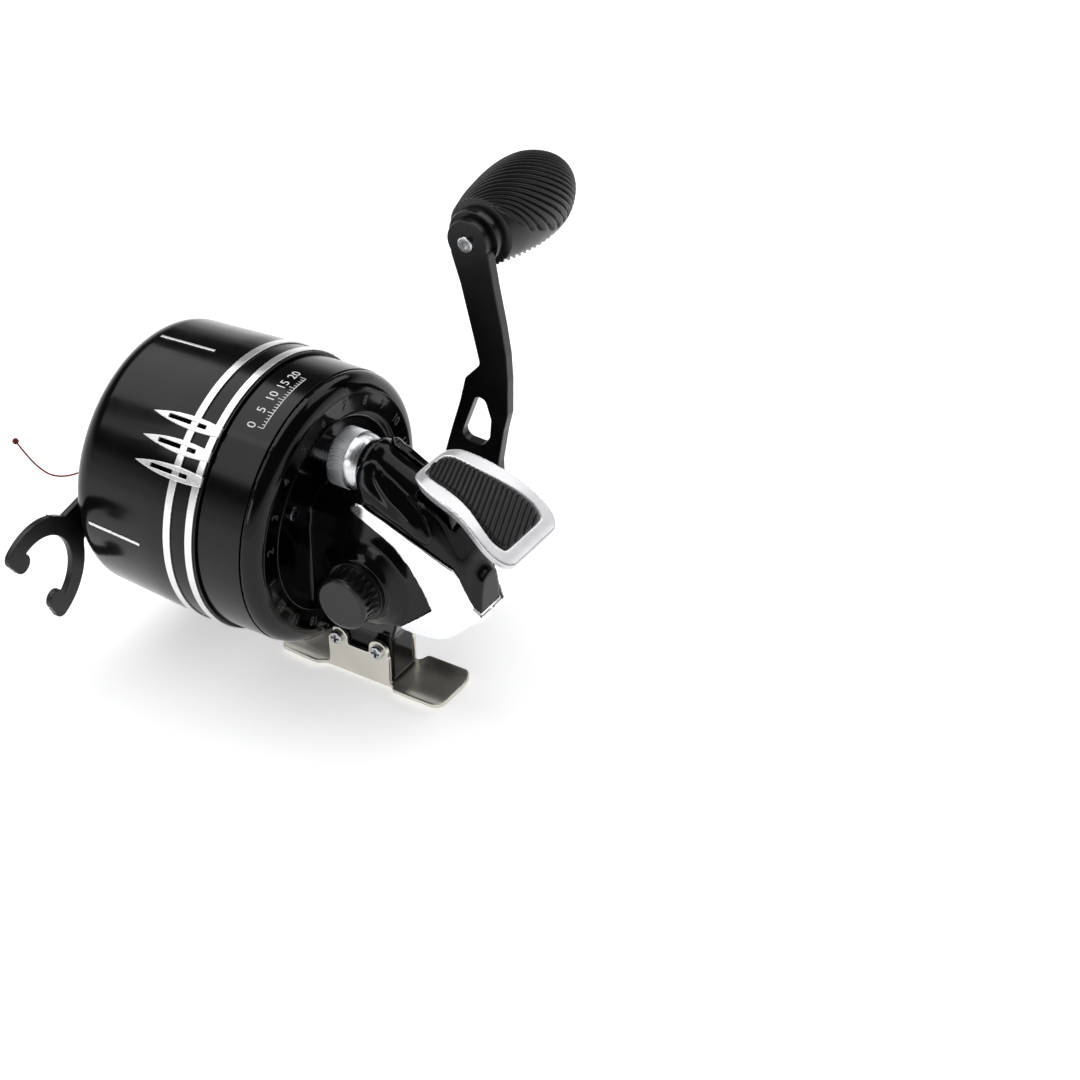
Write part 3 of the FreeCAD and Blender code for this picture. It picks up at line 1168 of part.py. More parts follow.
def thumb_lever():
    """Chrome pedal, its rubber insert, the black lever under it and the hinge pin."""
    depth, recess, crown = size("pedal_depth"), size("pad_recess"), size("pad_crown")
    pedal = curved_slab(pedal_stations(), 0, depth, 1.6)
    pocket = curved_slab(pad_stations(), 3.0, recess, 0.0)
    put("thumb_pedal", pedal.cut(pocket))
    snug = [(y, z, half - size("seat")) for y, z, half in pad_stations()]
    snug[0] = (snug[0][0] - size("seat"),) + snug[0][1:]
    snug[-1] = (snug[-1][0] + size("seat"),) + snug[-1][1:]
    put("pedal_pad", curved_slab(snug, crown, recess - size("seat"), 0.0))
    y, z, half = size("pivot_y"), size("pivot_z"), size("lever_half")
    front, low = y - size("finger_offset"), size("finger_low_z")
    back = front - size("finger_thickness")
    hub = size("lever_hub")
    arm = polygon("YZ", [
        (y + 5.0, 27.0), (y + 4.6, z + 8.0), (y + hub, z), (front, z - 7.5), (front, low), (back, low),
        (back, z - 9.5), (y - hub, z - 6.0), (y - hub, z), (y - 3.6, z + 4.6), (y - 7.4, z + 7.0),
        (y - 7.4, 27.0)], -half, half)
    arm = fused([arm, rod(hub, -half, half, "X", y, z)])
    hull = curved_slab(pedal_stations()[2:9], 3.0, depth + size("seat"), 0.0)
    crest_y, crest_z, _ = pedal_stations()[3]
    hull = hull.fuse(slab(-half - 1, half + 1, crest_y - 0.2, y + 9, crest_z - depth - size("play"), crest_z + 5))
    arm = arm.cut(hull)
    arm = max(arm.Solids, key=lambda solid: solid.Volume)
    put("lever_arm", arm.cut(rod(size("lever_pin + run_gap"), -half - 1, half + 1, "X", y, z)))
    reach = size("lever_pin_half")
    put("lever_pin", rod(size("lever_pin"), -reach, reach, "X", y, z))


# Foot


def foot_outline():
    """Half outline of the foot's sheet seen from above, front to rear."""
    half, ear = size("foot_half"), size("ear_half")
    front, rear = size("foot_front_y"), size("foot_rear_y")
    return [(half - 1.0, front), (half, size("ear_front_y") + 2.4), (ear, size("ear_front_y") + 1.0),
            (ear, size("ear_rear_y") - 1.0), (half, size("ear_rear_y") - 2.4), (half, rear)]


def foot_bracket():
    """Stamped steel foot: a shallow trough with two tangs and an ear on each side of the stem."""
    floor, sheet_depth = size("foot_floor"), size("foot_sheet")
    flat, half, rise = size("foot_flat_half"), size("foot_half"), size("foot_rise")
    front, rear = size("foot_front_y"), size("foot_rear_y")
    section = [(-half, floor + rise), (-flat, floor), (flat, floor), (half, floor + rise),
               (half, floor + rise + sheet_depth), (flat, floor + sheet_depth),
               (-flat, floor + sheet_depth), (-half, floor + rise + sheet_depth)]
    trough = soft_plate("XZ", section, size("foot_bend"), rear, front)
    side = foot_outline()
    plan = side + [(-x, y) for x, y in reversed(side)]
    trough = trough.common(soft_plate("XY", plan, size("foot_corner"), floor - 1, floor + 9))
    ear = size("ear_half")
    lug, z = size("ear_lug_radius"), size("foot_screw_z")
    a, b = size("ear_front_y"), size("ear_rear_y")
    base = floor + rise * (ear - flat) / (half - flat) + 0.2
    shapes = [slab(ear - sheet_depth, ear, b, a, base, size("ear_low_z"))]
    for station in (size("foot_screw_front_y"), size("foot_screw_rear_y")):
        shapes.append(rod(lug, ear - sheet_depth, ear, "X", station, z))
        shapes.append(slab(ear - sheet_depth, ear, station - lug, station + lug, base, z))
    plate = fused(shapes)
    ring = rod(size("collar_radius + seat"), size("ring_rear_y - play"), 0, "Y")
    solid = fused([trough, plate.cut(ring), mirrored(plate).cut(ring)])
    holes = [rod(size("shank + thread_gap"), -12, 12, "X", size(station), z)
             for station in ("foot_screw_front_y", "foot_screw_rear_y")]
    put("foot_bracket", solid.cut(Part.makeCompound(holes)))
    screws = []
    for direction in (1, -1):
        for station in ("foot_screw_front_y", "foot_screw_rear_y"):
            screws.append(pan_screw(size("foot_shank"), (direction * ear, size(station), z), (direction, 0, 0)))
    put("foot_screws", Part.makeCompound(screws))


# Red line


LINE_ROUTE = [(0.0, 45.6, 0.0), (0.0, 49.4, -0.4), (-1.8, 54.2, -5.0), (-4.6, 60.0, -11.3),
              (-7.6, 66.2, -15.0), (-9.7, 71.2, -15.4), (-12.0, 73.8, -11.8), (-13.9, 75.6, -7.4),
              (-15.2, 77.0, -3.6)]


def red_line():
    """Free end of the line from the eyelet to its knot: runs joined by tangent arcs."""
    spots = [vector(*spot) for spot in LINE_ROUTE]
    edges, radii, length = [], [], 0.0
    here = spots[0]
    for i in range(1, len(spots) - 1):
        back, ahead = spots[i - 1] - spots[i], spots[i + 1] - spots[i]
        half = (math.pi - back.getAngle(ahead)) / 2
        reach = 0.45 * min(back.Length, ahead.Length)
        radii.append(reach / math.tan(half))
        back.normalize()
        ahead.normalize()
        enter, leave = spots[i] + back * reach, spots[i] + ahead * reach
        sag = radii[-1] / math.cos(half) - radii[-1]
        middle = spots[i] + (back + ahead).normalize() * sag
        edges += [Part.makeLine(here, enter), Part.Arc(enter, middle, leave).toShape()]
        here = leave
    edges.append(Part.makeLine(here, spots[-1]))
    length = sum(edge.Length for edge in edges)
    radius = size("line_diameter / 2")
    start = spots[1] - spots[0]
    ring = Part.Wire(Part.Circle(spots[0], start, radius).toShape())
    cord = Part.Wire(edges).makePipeShell([ring], True, False)
    print("line radii", [round(value, 2) for value in radii], "length", round(length, 2))
    print("line volume against section times length", round(cord.Volume / (math.pi * radius ** 2 * length), 4))
    put("line_end", cord)
    run = (spots[-1] - spots[-2]).normalize()
    knot = Part.makeSphere(size("knot_radius"))
    knot.translate(spots[-1] + run * size("knot_radius"))
    cap = Part.makeCylinder(size("line_diameter"), size("knot_radius"), spots[-1] - run * size("knot_radius"), run)
    put("line_knot", knot.cut(cap))


def to_row_frame():
    """Move every sub-part so that the middle of the foot's sole is the origin."""
    shift = {"x": "0", "y": "0 - (foot_front_y + foot_rear_y) / 2", "z": "0 - foot_floor"}
    for item in NODES:
        bound = {path.strip("."): formula for path, formula in item.ExpressionEngine}
        for axis, formula in shift.items():
            path = "Placement.Base." + axis
            start = bound.get(path, str(getattr(item.Placement.Base, axis)))
            item.setExpression(path, start + " + " + link(formula))
    doc.recompute()


def build():
    fill_sheet()
    front_cover()
    bands()
    louvre_bezels()
    cover_stripes()
    nose_parts()
    front_fork()
    body_collar()
    deck_plate()
    spool_parts()
    centre_shaft()
    spinner_head()
    pinion()
    drive_gear()
    crankshaft()
    ratchet_and_pawl()
    rear_cover()
    cover_screws()
    trims()
    side_cap()
    drag_parts()
    crank_arm()
    knob()
    thumb_lever()
    foot_bracket()
    red_line()
    doc.recompute()
    to_row_frame()


def check():
    """Stop on any failed object or any sub-part without a valid shape."""
    for item in doc.Objects:
        if "Invalid" in item.State or "Error" in item.State:
            raise RuntimeError(item.Label + ": " + str(item.State))
    for item in NODES:
        if item.Shape.isNull() or not item.Shape.isValid() or not item.Shape.Solids:
            raise RuntimeError(item.Label + " has no valid solid")


def export():
    os.makedirs("parts", exist_ok=True)
    for item in NODES:
        item.Shape.exportStep("parts/" + item.Label + ".step")
        print(item.Label, len(item.Shape.Solids), round(item.Shape.Volume, 1))


build()
check()
export()
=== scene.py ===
"""Looks of a closed-face bowfishing reel: finishes, detailed pieces, the free line and a plain studio.

Sizes are millimetres from the drum's axis at its rear bright ring, with +Y forward, +X towards the crank
and +Z up. The function place turns them into metres in the frame, whose origin is the middle of the foot's
sole.
"""
import logging
import math
from contextlib import contextmanager
from dataclasses import dataclass, field
from enum import Enum
from typing import Any, Callable, Dict, Iterator, Sequence, Tuple, Union

import bmesh
import bpy
from mathutils import Matrix, Vector


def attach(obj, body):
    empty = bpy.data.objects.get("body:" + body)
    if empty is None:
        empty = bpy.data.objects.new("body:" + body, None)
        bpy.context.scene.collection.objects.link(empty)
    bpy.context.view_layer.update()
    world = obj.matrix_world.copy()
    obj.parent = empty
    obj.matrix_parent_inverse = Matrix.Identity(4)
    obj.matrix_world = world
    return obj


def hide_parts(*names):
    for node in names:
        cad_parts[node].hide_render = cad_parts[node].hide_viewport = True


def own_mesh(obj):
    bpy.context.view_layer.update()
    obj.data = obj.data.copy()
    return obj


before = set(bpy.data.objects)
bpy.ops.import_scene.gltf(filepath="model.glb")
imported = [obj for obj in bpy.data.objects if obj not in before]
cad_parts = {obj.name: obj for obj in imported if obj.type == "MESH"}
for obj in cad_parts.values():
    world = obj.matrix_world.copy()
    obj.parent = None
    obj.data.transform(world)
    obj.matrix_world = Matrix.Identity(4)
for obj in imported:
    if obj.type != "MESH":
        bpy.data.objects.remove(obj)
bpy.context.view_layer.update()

LOG = logging.getLogger("reel")

# A millimetre in metres
MM = 0.001
# Vertices nearer to each other than this, in millimetres, are merged
WELD = 0.001
# Range that most values of a noise lie in
NOISE_MIDDLE = (0.35, 0.65)
# From the middle of the foot's sole to the drum's axis at its rear bright ring, in millimetres
SOLE_TO_AXIS = Vector((0.0, 29.0, 47.3))

Point = Tuple[float, float, float]
Pair = Tuple[float, float]
Setting = Union[bpy.types.NodeSocket, float, int, str, Sequence[float]]
Inputs = Dict[Union[str, int], Setting]


def place(x: float, y: float, z: float) -> Vector:
    """Turn a spot measured from the drum's axis in millimetres into metres in the frame."""
    return (Vector((x, y, z)) + SOLE_TO_AXIS) * MM


def clamp(value: float) -> float:
    """Keep a value between 0 and 1."""
    return min(max(value, 0.0), 1.0)


def shade(code: str) -> Tuple[float, float, float, float]:
    """Turn an sRGB hex colour into linear red, green, blue and alpha.

    Args:
        code: Six hex digits, such as "0d0d0e".

    Returns:
        The four linear values that a colour socket takes.
    """
    parts = [int(code[i:i + 2], 16) / 255 for i in (0, 2, 4)]
    red, green, blue = [c / 12.92 if c <= 0.04045 else ((c + 0.055) / 1.055) ** 2.4 for c in parts]
    return red, green, blue, 1.0


# Finishes


def add(tree: bpy.types.NodeTree, kind: str, settings: Dict[str, Any], inputs: Inputs) -> bpy.types.Node:
    """Add one shader node with its settings and its inputs.

    Args:
        tree: Node tree that gets the node.
        kind: Blender's name of the node's type.
        settings: Properties of the node itself.
        inputs: Values, or sockets to link, by input name or number.

    Returns:
        The new node.
    """
    node = tree.nodes.new(kind)
    for name, value in settings.items():
        setattr(node, name, value)
    for name, value in inputs.items():
        socket = node.inputs[name]
        if isinstance(value, bpy.types.NodeSocket):
            tree.links.new(value, socket)
        else:
            socket.default_value = value
    return node


@dataclass(frozen=True)
class Finish:
    """A surface finish that can build its own material.

    Attributes:
        name: The material's name, after what the surface is.
        slot: Name of a material slot; not used.
        light: Lighter colour as sRGB hex digits.
        dark: Darker colour as sRGB hex digits.
        roughness: Least and most roughness.
        blotch: Width of a patch of one colour in millimetres.
        grain: Width of the finest pattern in millimetres.
        height: Height of that pattern in millimetres.
    """

    name: str
    slot: str
    light: str
    dark: str
    roughness: Pair
    blotch: float = 25.0
    grain: float = 1.0
    height: float = 0.01

    def noise(self, tree: bpy.types.NodeTree, spot: bpy.types.NodeSocket, width: float,
              detail: float = 2.0) -> bpy.types.NodeSocket:
        """Give a noise whose blobs have a real width.

        Args:
            tree: Node tree of the material.
            spot: Coordinates to read, in metres.
            width: Width of a blob in millimetres.
            detail: How many finer layers lie on it.

        Returns:
            The noise's value socket.
        """
        return add(tree, "ShaderNodeTexNoise", {}, {
            "Vector": spot, "Scale": 1 / (width * MM), "Detail": detail}).outputs["Fac"]

    def ramp(self, tree: bpy.types.NodeTree, value: bpy.types.NodeSocket, low: float,
             high: float) -> bpy.types.NodeSocket:
        """Spread the middle of a noise over a range of values.

        Args:
            tree: Node tree of the material.
            value: Noise between 0 and 1.
            low: Value where the noise is low.
            high: Value where the noise is high.

        Returns:
            The spread value's socket.
        """
        return add(tree, "ShaderNodeMapRange", {"clamp": True}, {
            "Value": value, "From Min": NOISE_MIDDLE[0], "From Max": NOISE_MIDDLE[1],
            "To Min": low, "To Max": high}).outputs["Result"]

    def colour(self, tree: bpy.types.NodeTree, value: bpy.types.NodeSocket) -> bpy.types.NodeSocket:
        """Mix the finish's two colours by a value between 0 and 1."""
        return add(tree, "ShaderNodeMix", {"data_type": "RGBA"}, {
            0: value, 6: shade(self.dark), 7: shade(self.light)}).outputs[2]

    def tint(self, tree: bpy.types.NodeTree, spot: bpy.types.NodeSocket,
             detail: float = 2.0) -> bpy.types.NodeSocket:
        """Mix the finish's two colours in patches.

        Args:
            tree: Node tree of the material.
            spot: Coordinates to read, in metres.
            detail: How many finer layers the patches have.

        Returns:
            The colour's socket.
        """
        return self.colour(tree, self.ramp(tree, self.noise(tree, spot, self.blotch, detail), 0.0, 1.0))

    def relief(self, tree: bpy.types.NodeTree, value: bpy.types.NodeSocket,
               height: float) -> bpy.types.NodeSocket:
        """Raise a value as a bump of a real height.

        Args:
            tree: Node tree of the material.
            value: Pattern to raise.
            height: Height of the pattern in millimetres.

        Returns:
            The bumped normal's socket.
        """
        return add(tree, "ShaderNodeBump", {}, {
            "Height": value, "Strength": 1.0, "Distance": height * MM}).outputs["Normal"]

    def even(self) -> float:
        """Give the middle of the roughness, for fibres that are equally dull all over."""
        return sum(self.roughness) / 2

    def inputs(self, tree: bpy.types.NodeTree, spot: bpy.types.NodeSocket) -> Inputs:
        """Give the Principled shader's inputs, with the nodes that feed them.

        Args:
            tree: Node tree of the material.
            spot: Object coordinates, in metres.

        Returns:
            Values and sockets by the inputs' names.
        """
        raise NotImplementedError

    def build(self) -> bpy.types.Material:
        """Build the finish's material on Object coordinates."""
        material = bpy.data.materials.new(self.name)
        material.use_nodes = True
        tree = material.node_tree
        tree.nodes.clear()
        spot = add(tree, "ShaderNodeTexCoord", {}, {}).outputs["Object"]
        shader = add(tree, "ShaderNodeBsdfPrincipled", {}, self.inputs(tree, spot))
        add(tree, "ShaderNodeOutputMaterial", {}, {"Surface": shader.outputs["BSDF"]})
        return material


@dataclass(frozen=True)
class GlossLacquer(Finish):
    """Black lacquer: deep, wet gloss with a faint orange peel from spraying."""

    gloss: float = 0.28

    def inputs(self, tree: bpy.types.NodeTree, spot: bpy.types.NodeSocket) -> Inputs:
        """Give the shader's inputs: black patches, faint haze and orange peel."""
        haze = self.ramp(tree, self.noise(tree, spot, self.blotch / 3, 3.0), *self.roughness)
        peel = self.relief(tree, self.noise(tree, spot, self.grain), self.height)
        return {"Base Color": self.tint(tree, spot), "Roughness": haze, "Normal": peel,
                "Specular IOR Level": self.gloss}


@dataclass(frozen=True)
class SatinPaint(Finish):
    """Powder paint, print or plain moulded plastic: an even, dry sheen with a fine grain."""

    gloss: float = 0.45

    def inputs(self, tree: bpy.types.NodeTree, spot: bpy.types.NodeSocket) -> Inputs:
        """Give the shader's inputs: even colour, broad haze and fine grain."""
        haze = self.ramp(tree, self.noise(tree, spot, self.blotch / 2, 3.0), *self.roughness)
        grain = self.relief(tree, self.noise(tree, spot, self.grain, 1.0), self.height)
        return {"Base Color": self.tint(tree, spot), "Roughness": haze, "Normal": grain,
                "Specular IOR Level": self.gloss}


@dataclass(frozen=True)
class Plating(Finish):
    """Chrome plating: mirror bright to satin, with slow waves and faint handling haze."""

    metal: float = 1.0

    def inputs(self, tree: bpy.types.NodeTree, spot: bpy.types.NodeSocket) -> Inputs:
        """Give the shader's inputs: metal, haze and slow waves."""
        haze = self.ramp(tree, self.noise(tree, spot, self.blotch / 4, 4.0), *self.roughness)
        waves = self.relief(tree, self.noise(tree, spot, self.grain, 0.0), self.height)
        return {"Base Color": self.tint(tree, spot), "Metallic": self.metal, "Roughness": haze,
                "Normal": waves}


@dataclass(frozen=True)
class BrushedMetal(Finish):
    """Metal brushed or turned in one direction: fine lines that stretch the highlight."""

    stretch: Point = (1.0, 0.04, 1.0)

    def inputs(self, tree: bpy.types.NodeTree, spot: bpy.types.NodeSocket) -> Inputs:
        """Give the shader's inputs: metal with one set of lines for roughness and relief."""
        lines = add(tree, "ShaderNodeMapping", {}, {"Vector": spot, "Scale": self.stretch}).outputs["Vector"]
        scratch = self.noise(tree, lines, self.grain, 3.0)
        return {"Base Color": self.tint(tree, spot, 3.0), "Metallic": 1.0,
                "Roughness": self.ramp(tree, scratch, *self.roughness),
                "Normal": self.relief(tree, scratch, self.height)}


@dataclass(frozen=True)
class MouldedRubber(Finish):
    """Moulded rubber: soft grey-black with a fine spark-eroded grain and a slight sheen."""

    gloss: float = 0.4

    def inputs(self, tree: bpy.types.NodeTree, spot: bpy.types.NodeSocket) -> Inputs:
        """Give the shader's inputs: mottled colour, haze, grain and sheen."""
        grain = self.relief(tree, self.noise(tree, spot, self.grain, 2.0), self.height)
        haze = self.ramp(tree, self.noise(tree, spot, self.blotch / 3, 2.0), *self.roughness)
        return {"Base Color": self.tint(tree, spot, 4.0), "Roughness": haze, "Normal": grain,
                "Specular IOR Level": self.gloss, "Sheen Weight": 0.15, "Sheen Roughness": 0.4}


@dataclass(frozen=True)
class BraidedLine(Finish):
    """Braided line: crossing strands that catch the light as a row of small humps."""

    def inputs(self, tree: bpy.types.NodeTree, spot: bpy.types.NodeSocket) -> Inputs:
        """Give the shader's inputs: one wave, a grain wide, for colour and relief."""
        twill = add(tree, "ShaderNodeTexWave", {"bands_direction": "DIAGONAL"}, {
            "Vector": spot, "Scale": math.pi / 10 / (self.grain * MM), "Distortion": 0.0}).outputs["Fac"]
        return {"Base Color": self.colour(tree, twill), "Roughness": self.even(),
                "Normal": self.relief(tree, twill, self.height), "Sheen Weight": 0.2}


@dataclass(frozen=True)
class Felt(Finish):
    """Pressed felt or tightly wound line: matted fibres with no gloss."""

    def inputs(self, tree: bpy.types.NodeTree, spot: bpy.types.NodeSocket) -> Inputs:
        """Give the shader's inputs: one fibre noise for colour and relief."""
        fibre = self.noise(tree, spot, self.grain, 6.0)
        return {"Base Color": self.colour(tree, self.ramp(tree, fibre, 0.0, 1.0)), "Roughness": self.even(),
                "Normal": self.relief(tree, fibre, self.height), "Sheen Weight": 0.3}


# Blacks: wet gloss on the drum and the housing, a dry sheen on the fork, the arm and the caps. The ring's
# raised numbers are dark grey, a painted highlight for the light that their relief catches.
LACQUER = GlossLacquer("gloss_black_lacquer", "black_cover", "060607", "030304", (0.15, 0.2),
                       blotch=30.0, grain=1.4, height=0.002)
HOUSING_ABS = GlossLacquer("gloss_black_abs", "black_cover", "070708", "040405", (0.07, 0.13),
                           blotch=22.0, grain=1.1, height=0.002)
POWDER = SatinPaint("satin_black_powder_paint", "satin_black", "0f0f10", "0a0a0b", (0.3, 0.4),
                    blotch=14.0, grain=0.35, height=0.006)
ARM_PAINT = SatinPaint("satin_black_arm_paint", "black_arm", "0b0b0c", "08080a", (0.28, 0.34),
                       blotch=18.0, grain=0.3, height=0.002)
# Dark grey on the ring's raised numbers is a painted highlight
HIGHLIT_NUMBER_ABS = SatinPaint("rubbed_black_abs", "satin_black", "3d3d40", "2c2c2e", (0.3, 0.4),
                        blotch=6.0, grain=0.3, height=0.003)
CAP_ABS = SatinPaint("black_moulded_abs", "satin_black", "141415", "0e0e0f", (0.18, 0.26),
                     blotch=8.0, grain=0.3, height=0.002)
# Chrome: clear mirrors on the trims, and a whiter, softer shine on the bands, the bezels and the pedal, which
# show white from every side. So these three aren't fully metallic.
CHROME = Plating("chrome_plating", "chrome_trim", "fafafb", "f1f2f4", (0.04, 0.1),
                 blotch=12.0, grain=6.0, height=0.002)
BEZEL_CHROME = Plating("white_satin_chrome", "white_chrome", "fdfdfd", "f4f4f5", (0.26, 0.34),
                       blotch=6.0, grain=3.0, height=0.001, metal=0.6)
BAND_CHROME = Plating("bright_chrome_band", "chrome_trim", "fdfdfd", "f4f4f5", (0.2, 0.28),
                      blotch=12.0, grain=6.0, height=0.001, metal=0.75)
PEDAL_CHROME = Plating("satin_chrome_pedal", "chrome_trim", "f6f6f7", "ebebed", (0.26, 0.34),
                       blotch=14.0, grain=7.0, height=0.0012, metal=0.65)
# Bare metals: fine lines run round the turned alloy and lengthwise on steel and brass, and stretch the
# highlights. The knurled and the die-cast alloy have a grain without direction.
FOOT_STEEL = BrushedMetal("nickelled_steel_sheet", "steel_part", "e2dfd6", "d8d5cb", (0.28, 0.34),
                          blotch=9.0, grain=0.4, height=0.0004, stretch=(1.0, 0.25, 1.0))
TURNED_ALLOY = BrushedMetal("turned_aluminium", "polished_arm", "e6e7e9", "cfd1d4", (0.16, 0.3),
                            blotch=6.0, grain=0.25, height=0.002, stretch=(0.04, 1.0, 0.04))
KNURLED_ALLOY = BrushedMetal("knurled_aluminium", "polished_arm", "dcdddf", "bfc1c4", (0.3, 0.42),
                             blotch=6.0, grain=0.3, height=0.002, stretch=(1.0, 1.0, 1.0))
CAST_DECK = BrushedMetal("die_cast_aluminium", "cast_deck", "a9abad", "8f9194", (0.4, 0.55),
                         blotch=5.0, grain=0.6, height=0.008, stretch=(1.0, 1.0, 1.0))
BLACK_SCREW = BrushedMetal("black_oxide_steel", "screw_steel", "6c6c70", "48484c", (0.22, 0.34),
                           blotch=2.0, grain=0.2, height=0.002)
SCREW_STEEL = BrushedMetal("zinc_plated_steel", "screw_steel", "d9dadc", "b4b6b9", (0.16, 0.3),
                           blotch=2.0, grain=0.2, height=0.002)
SHAFT_STEEL = BrushedMetal("ground_steel", "steel_part", "c4c6c9", "a5a7ab", (0.2, 0.34),
                           blotch=5.0, grain=0.2, height=0.002)
GEAR_BRASS = BrushedMetal("machined_brass", "gear_brass", "d8b45e", "b8923f", (0.2, 0.34),
                          blotch=4.0, grain=0.3, height=0.002)
# White print, dull as ink is, and the spool's grey-black filled plastic
PRINT_WHITE = SatinPaint("white_pad_print", "white_chrome", "f0f0ee", "dededb", (0.5, 0.6),
                         blotch=3.0, grain=0.3, height=0.002)
SPOOL_RESIN = SatinPaint("glass_filled_nylon", "spool_plastic", "242427", "19191b", (0.4, 0.55),
                         blotch=9.0, grain=0.5, height=0.006)
# Soft pieces: the knob's rubber is greyer and glossier than the pedal's, and fibres have no gloss
GRIP_RUBBER = MouldedRubber("grip_rubber", "grip_rubber", "222224", "19191b", (0.3, 0.4),
                            blotch=10.0, grain=0.3, height=0.006)
PAD_RUBBER = MouldedRubber("pedal_rubber", "grip_rubber", "0f0f10", "0a0a0b", (0.34, 0.46),
                           blotch=8.0, grain=0.3, height=0.006)
PAD_FELT = Felt("pressed_felt", "drag_felt", "6b655c", "4d4840", (0.9, 1.0), grain=0.5, height=0.05)
RED_BRAID = BraidedLine("red_braided_line", "red_line", "a3232c", "6d1219", (0.55, 0.65),
                        grain=0.55, height=0.03)
WOUND_BRAID = Felt("wound_red_line", "red_line", "7d1c22", "4a0f13", (0.9, 1.0), grain=0.4, height=0.05)


@dataclass
class Wardrobe:
    """Finishes of the pieces that keep the shape of their solids."""

    finishes: Dict[str, Finish] = field(default_factory=lambda: {
        "front_cover": LACQUER, "band_front": BAND_CHROME, "band_rear": BAND_CHROME,
        "louvre_bezels_right": BEZEL_CHROME, "louvre_bezels_left": BEZEL_CHROME,
        "cover_stripes": BEZEL_CHROME,
        "line_eyelet": SCREW_STEEL, "nose_nut": POWDER, "front_fork": POWDER, "body_collar": LACQUER,
        "deck_plate": CAST_DECK, "deck_screws": SCREW_STEEL, "spool": SPOOL_RESIN, "spool_line": WOUND_BRAID,
        "spool_retainer": SHAFT_STEEL, "drag_pad": PAD_FELT, "centre_shaft": SHAFT_STEEL,
        "shaft_button": SHAFT_STEEL, "spinner_head": TURNED_ALLOY, "pickup_pin": SHAFT_STEEL,
        "spinner_nut": GEAR_BRASS, "pinion_gear": GEAR_BRASS, "pinion_bush_front": GEAR_BRASS,
        "pinion_bush_rear": GEAR_BRASS, "shaft_spring": SHAFT_STEEL, "drive_gear": GEAR_BRASS,
        "crankshaft": SHAFT_STEEL, "shaft_sleeve": ARM_PAINT, "crank_nut": SCREW_STEEL,
        "crank_bush_left": GEAR_BRASS, "crank_bush_right": GEAR_BRASS, "crank_clip": SHAFT_STEEL,
        "ratchet_wheel": SHAFT_STEEL, "pawl": SHAFT_STEEL, "pawl_stud": SHAFT_STEEL,
        "rear_cover": HOUSING_ABS, "cover_screws": BLACK_SCREW, "trim_left": CHROME, "trim_right": CHROME,
        "side_cap": CAP_ABS, "drag_wheel": TURNED_ALLOY, "drag_screw": SHAFT_STEEL, "crank_arm": ARM_PAINT,
        "knob_screw": SCREW_STEEL, "knob_collar": CAP_ABS, "knob_core": CAP_ABS, "knob_grip": GRIP_RUBBER,
        "thumb_pedal": PEDAL_CHROME, "pedal_pad": PAD_RUBBER, "lever_arm": HOUSING_ABS,
        "lever_pin": SHAFT_STEEL, "foot_bracket": FOOT_STEEL, "foot_screws": SCREW_STEEL,
        "line_end": RED_BRAID, "line_knot": WOUND_BRAID})
    made: Dict[str, bpy.types.Material] = field(default_factory=dict)

    def material(self, finish: Finish) -> bpy.types.Material:
        """Give a finish's material, built once."""
        if finish.name not in self.made:
            self.made[finish.name] = finish.build()
        return self.made[finish.name]

    def dress(self) -> None:
        """Put each solid's finish in its material slots."""
        for name, finish in self.finishes.items():
            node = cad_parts[name]
            node.data.materials.clear()
            node.data.materials.append(self.material(finish))
            LOG.info("dressed %s in %s", name, finish.name)


# Modelling helpers


def clear_selection() -> None:
    """Deselect everything, so that an operator acts on new pieces alone."""
    bpy.ops.object.select_all(action="DESELECT")


def activate(piece: bpy.types.Object) -> None:
    """Select one piece and nothing else, and make it the active one."""
    clear_selection()
    bpy.context.view_layer.objects.active = piece
    piece.select_set(True)


@contextmanager
def editing(piece: bpy.types.Object) -> Iterator[bmesh.types.BMesh]:
    """Open one piece in edit mode with nothing else selected, and close it again."""
    activate(piece)
    bpy.ops.object.mode_set(mode="EDIT")
    yield bmesh.from_edit_mesh(piece.data)
    bpy.ops.object.mode_set(mode="OBJECT")


class Element(Enum):
    """Kind of mesh element, named for the select mode and valued as the edit mesh's list."""

    VERT = "verts"
    EDGE = "edges"


def choose(mesh: bmesh.types.BMesh, kind: Element, test: Callable[[Any], bool]) -> None:
    """Select the elements of one kind that pass a test and nothing else.

    Args:
        mesh: The open edit mesh.
        kind: Kind of the elements.
        test: Says of one element whether it is wanted.
    """
    bpy.ops.mesh.select_mode(type=kind.name)
    bpy.ops.mesh.select_all(action="DESELECT")
    for element in getattr(mesh, kind.value):
        element.select = test(element)
    mesh.select_flush_mode()


def face_outwards() -> None:
    """Turn all faces of the piece in edit mode outwards."""
    bpy.ops.mesh.select_all(action="SELECT")
    bpy.ops.mesh.normals_make_consistent(inside=False)


def tidy_mesh(piece: bpy.types.Object) -> None:
    """Merge a piece's doubled vertices and turn its faces outwards."""
    with editing(piece):
        bpy.ops.mesh.select_all(action="SELECT")
        bpy.ops.mesh.remove_doubles(threshold=WELD * MM)
        bpy.ops.mesh.normals_make_consistent(inside=False)


def apply_modifier(piece: bpy.types.Object, kind: str, settings: Dict[str, Any]) -> None:
    """Add a modifier with its settings and apply it."""
    bpy.context.view_layer.objects.active = piece
    modifier = piece.modifiers.new(kind.lower(), kind)
    for name, value in settings.items():
        setattr(modifier, name, value)
    bpy.ops.object.modifier_apply(modifier=modifier.name)


def smooth(piece: bpy.types.Object, degrees: float) -> None:
    """Shade a piece smooth where its faces meet at less than an angle."""
    activate(piece)
    bpy.ops.object.shade_smooth_by_angle(angle=math.radians(degrees))


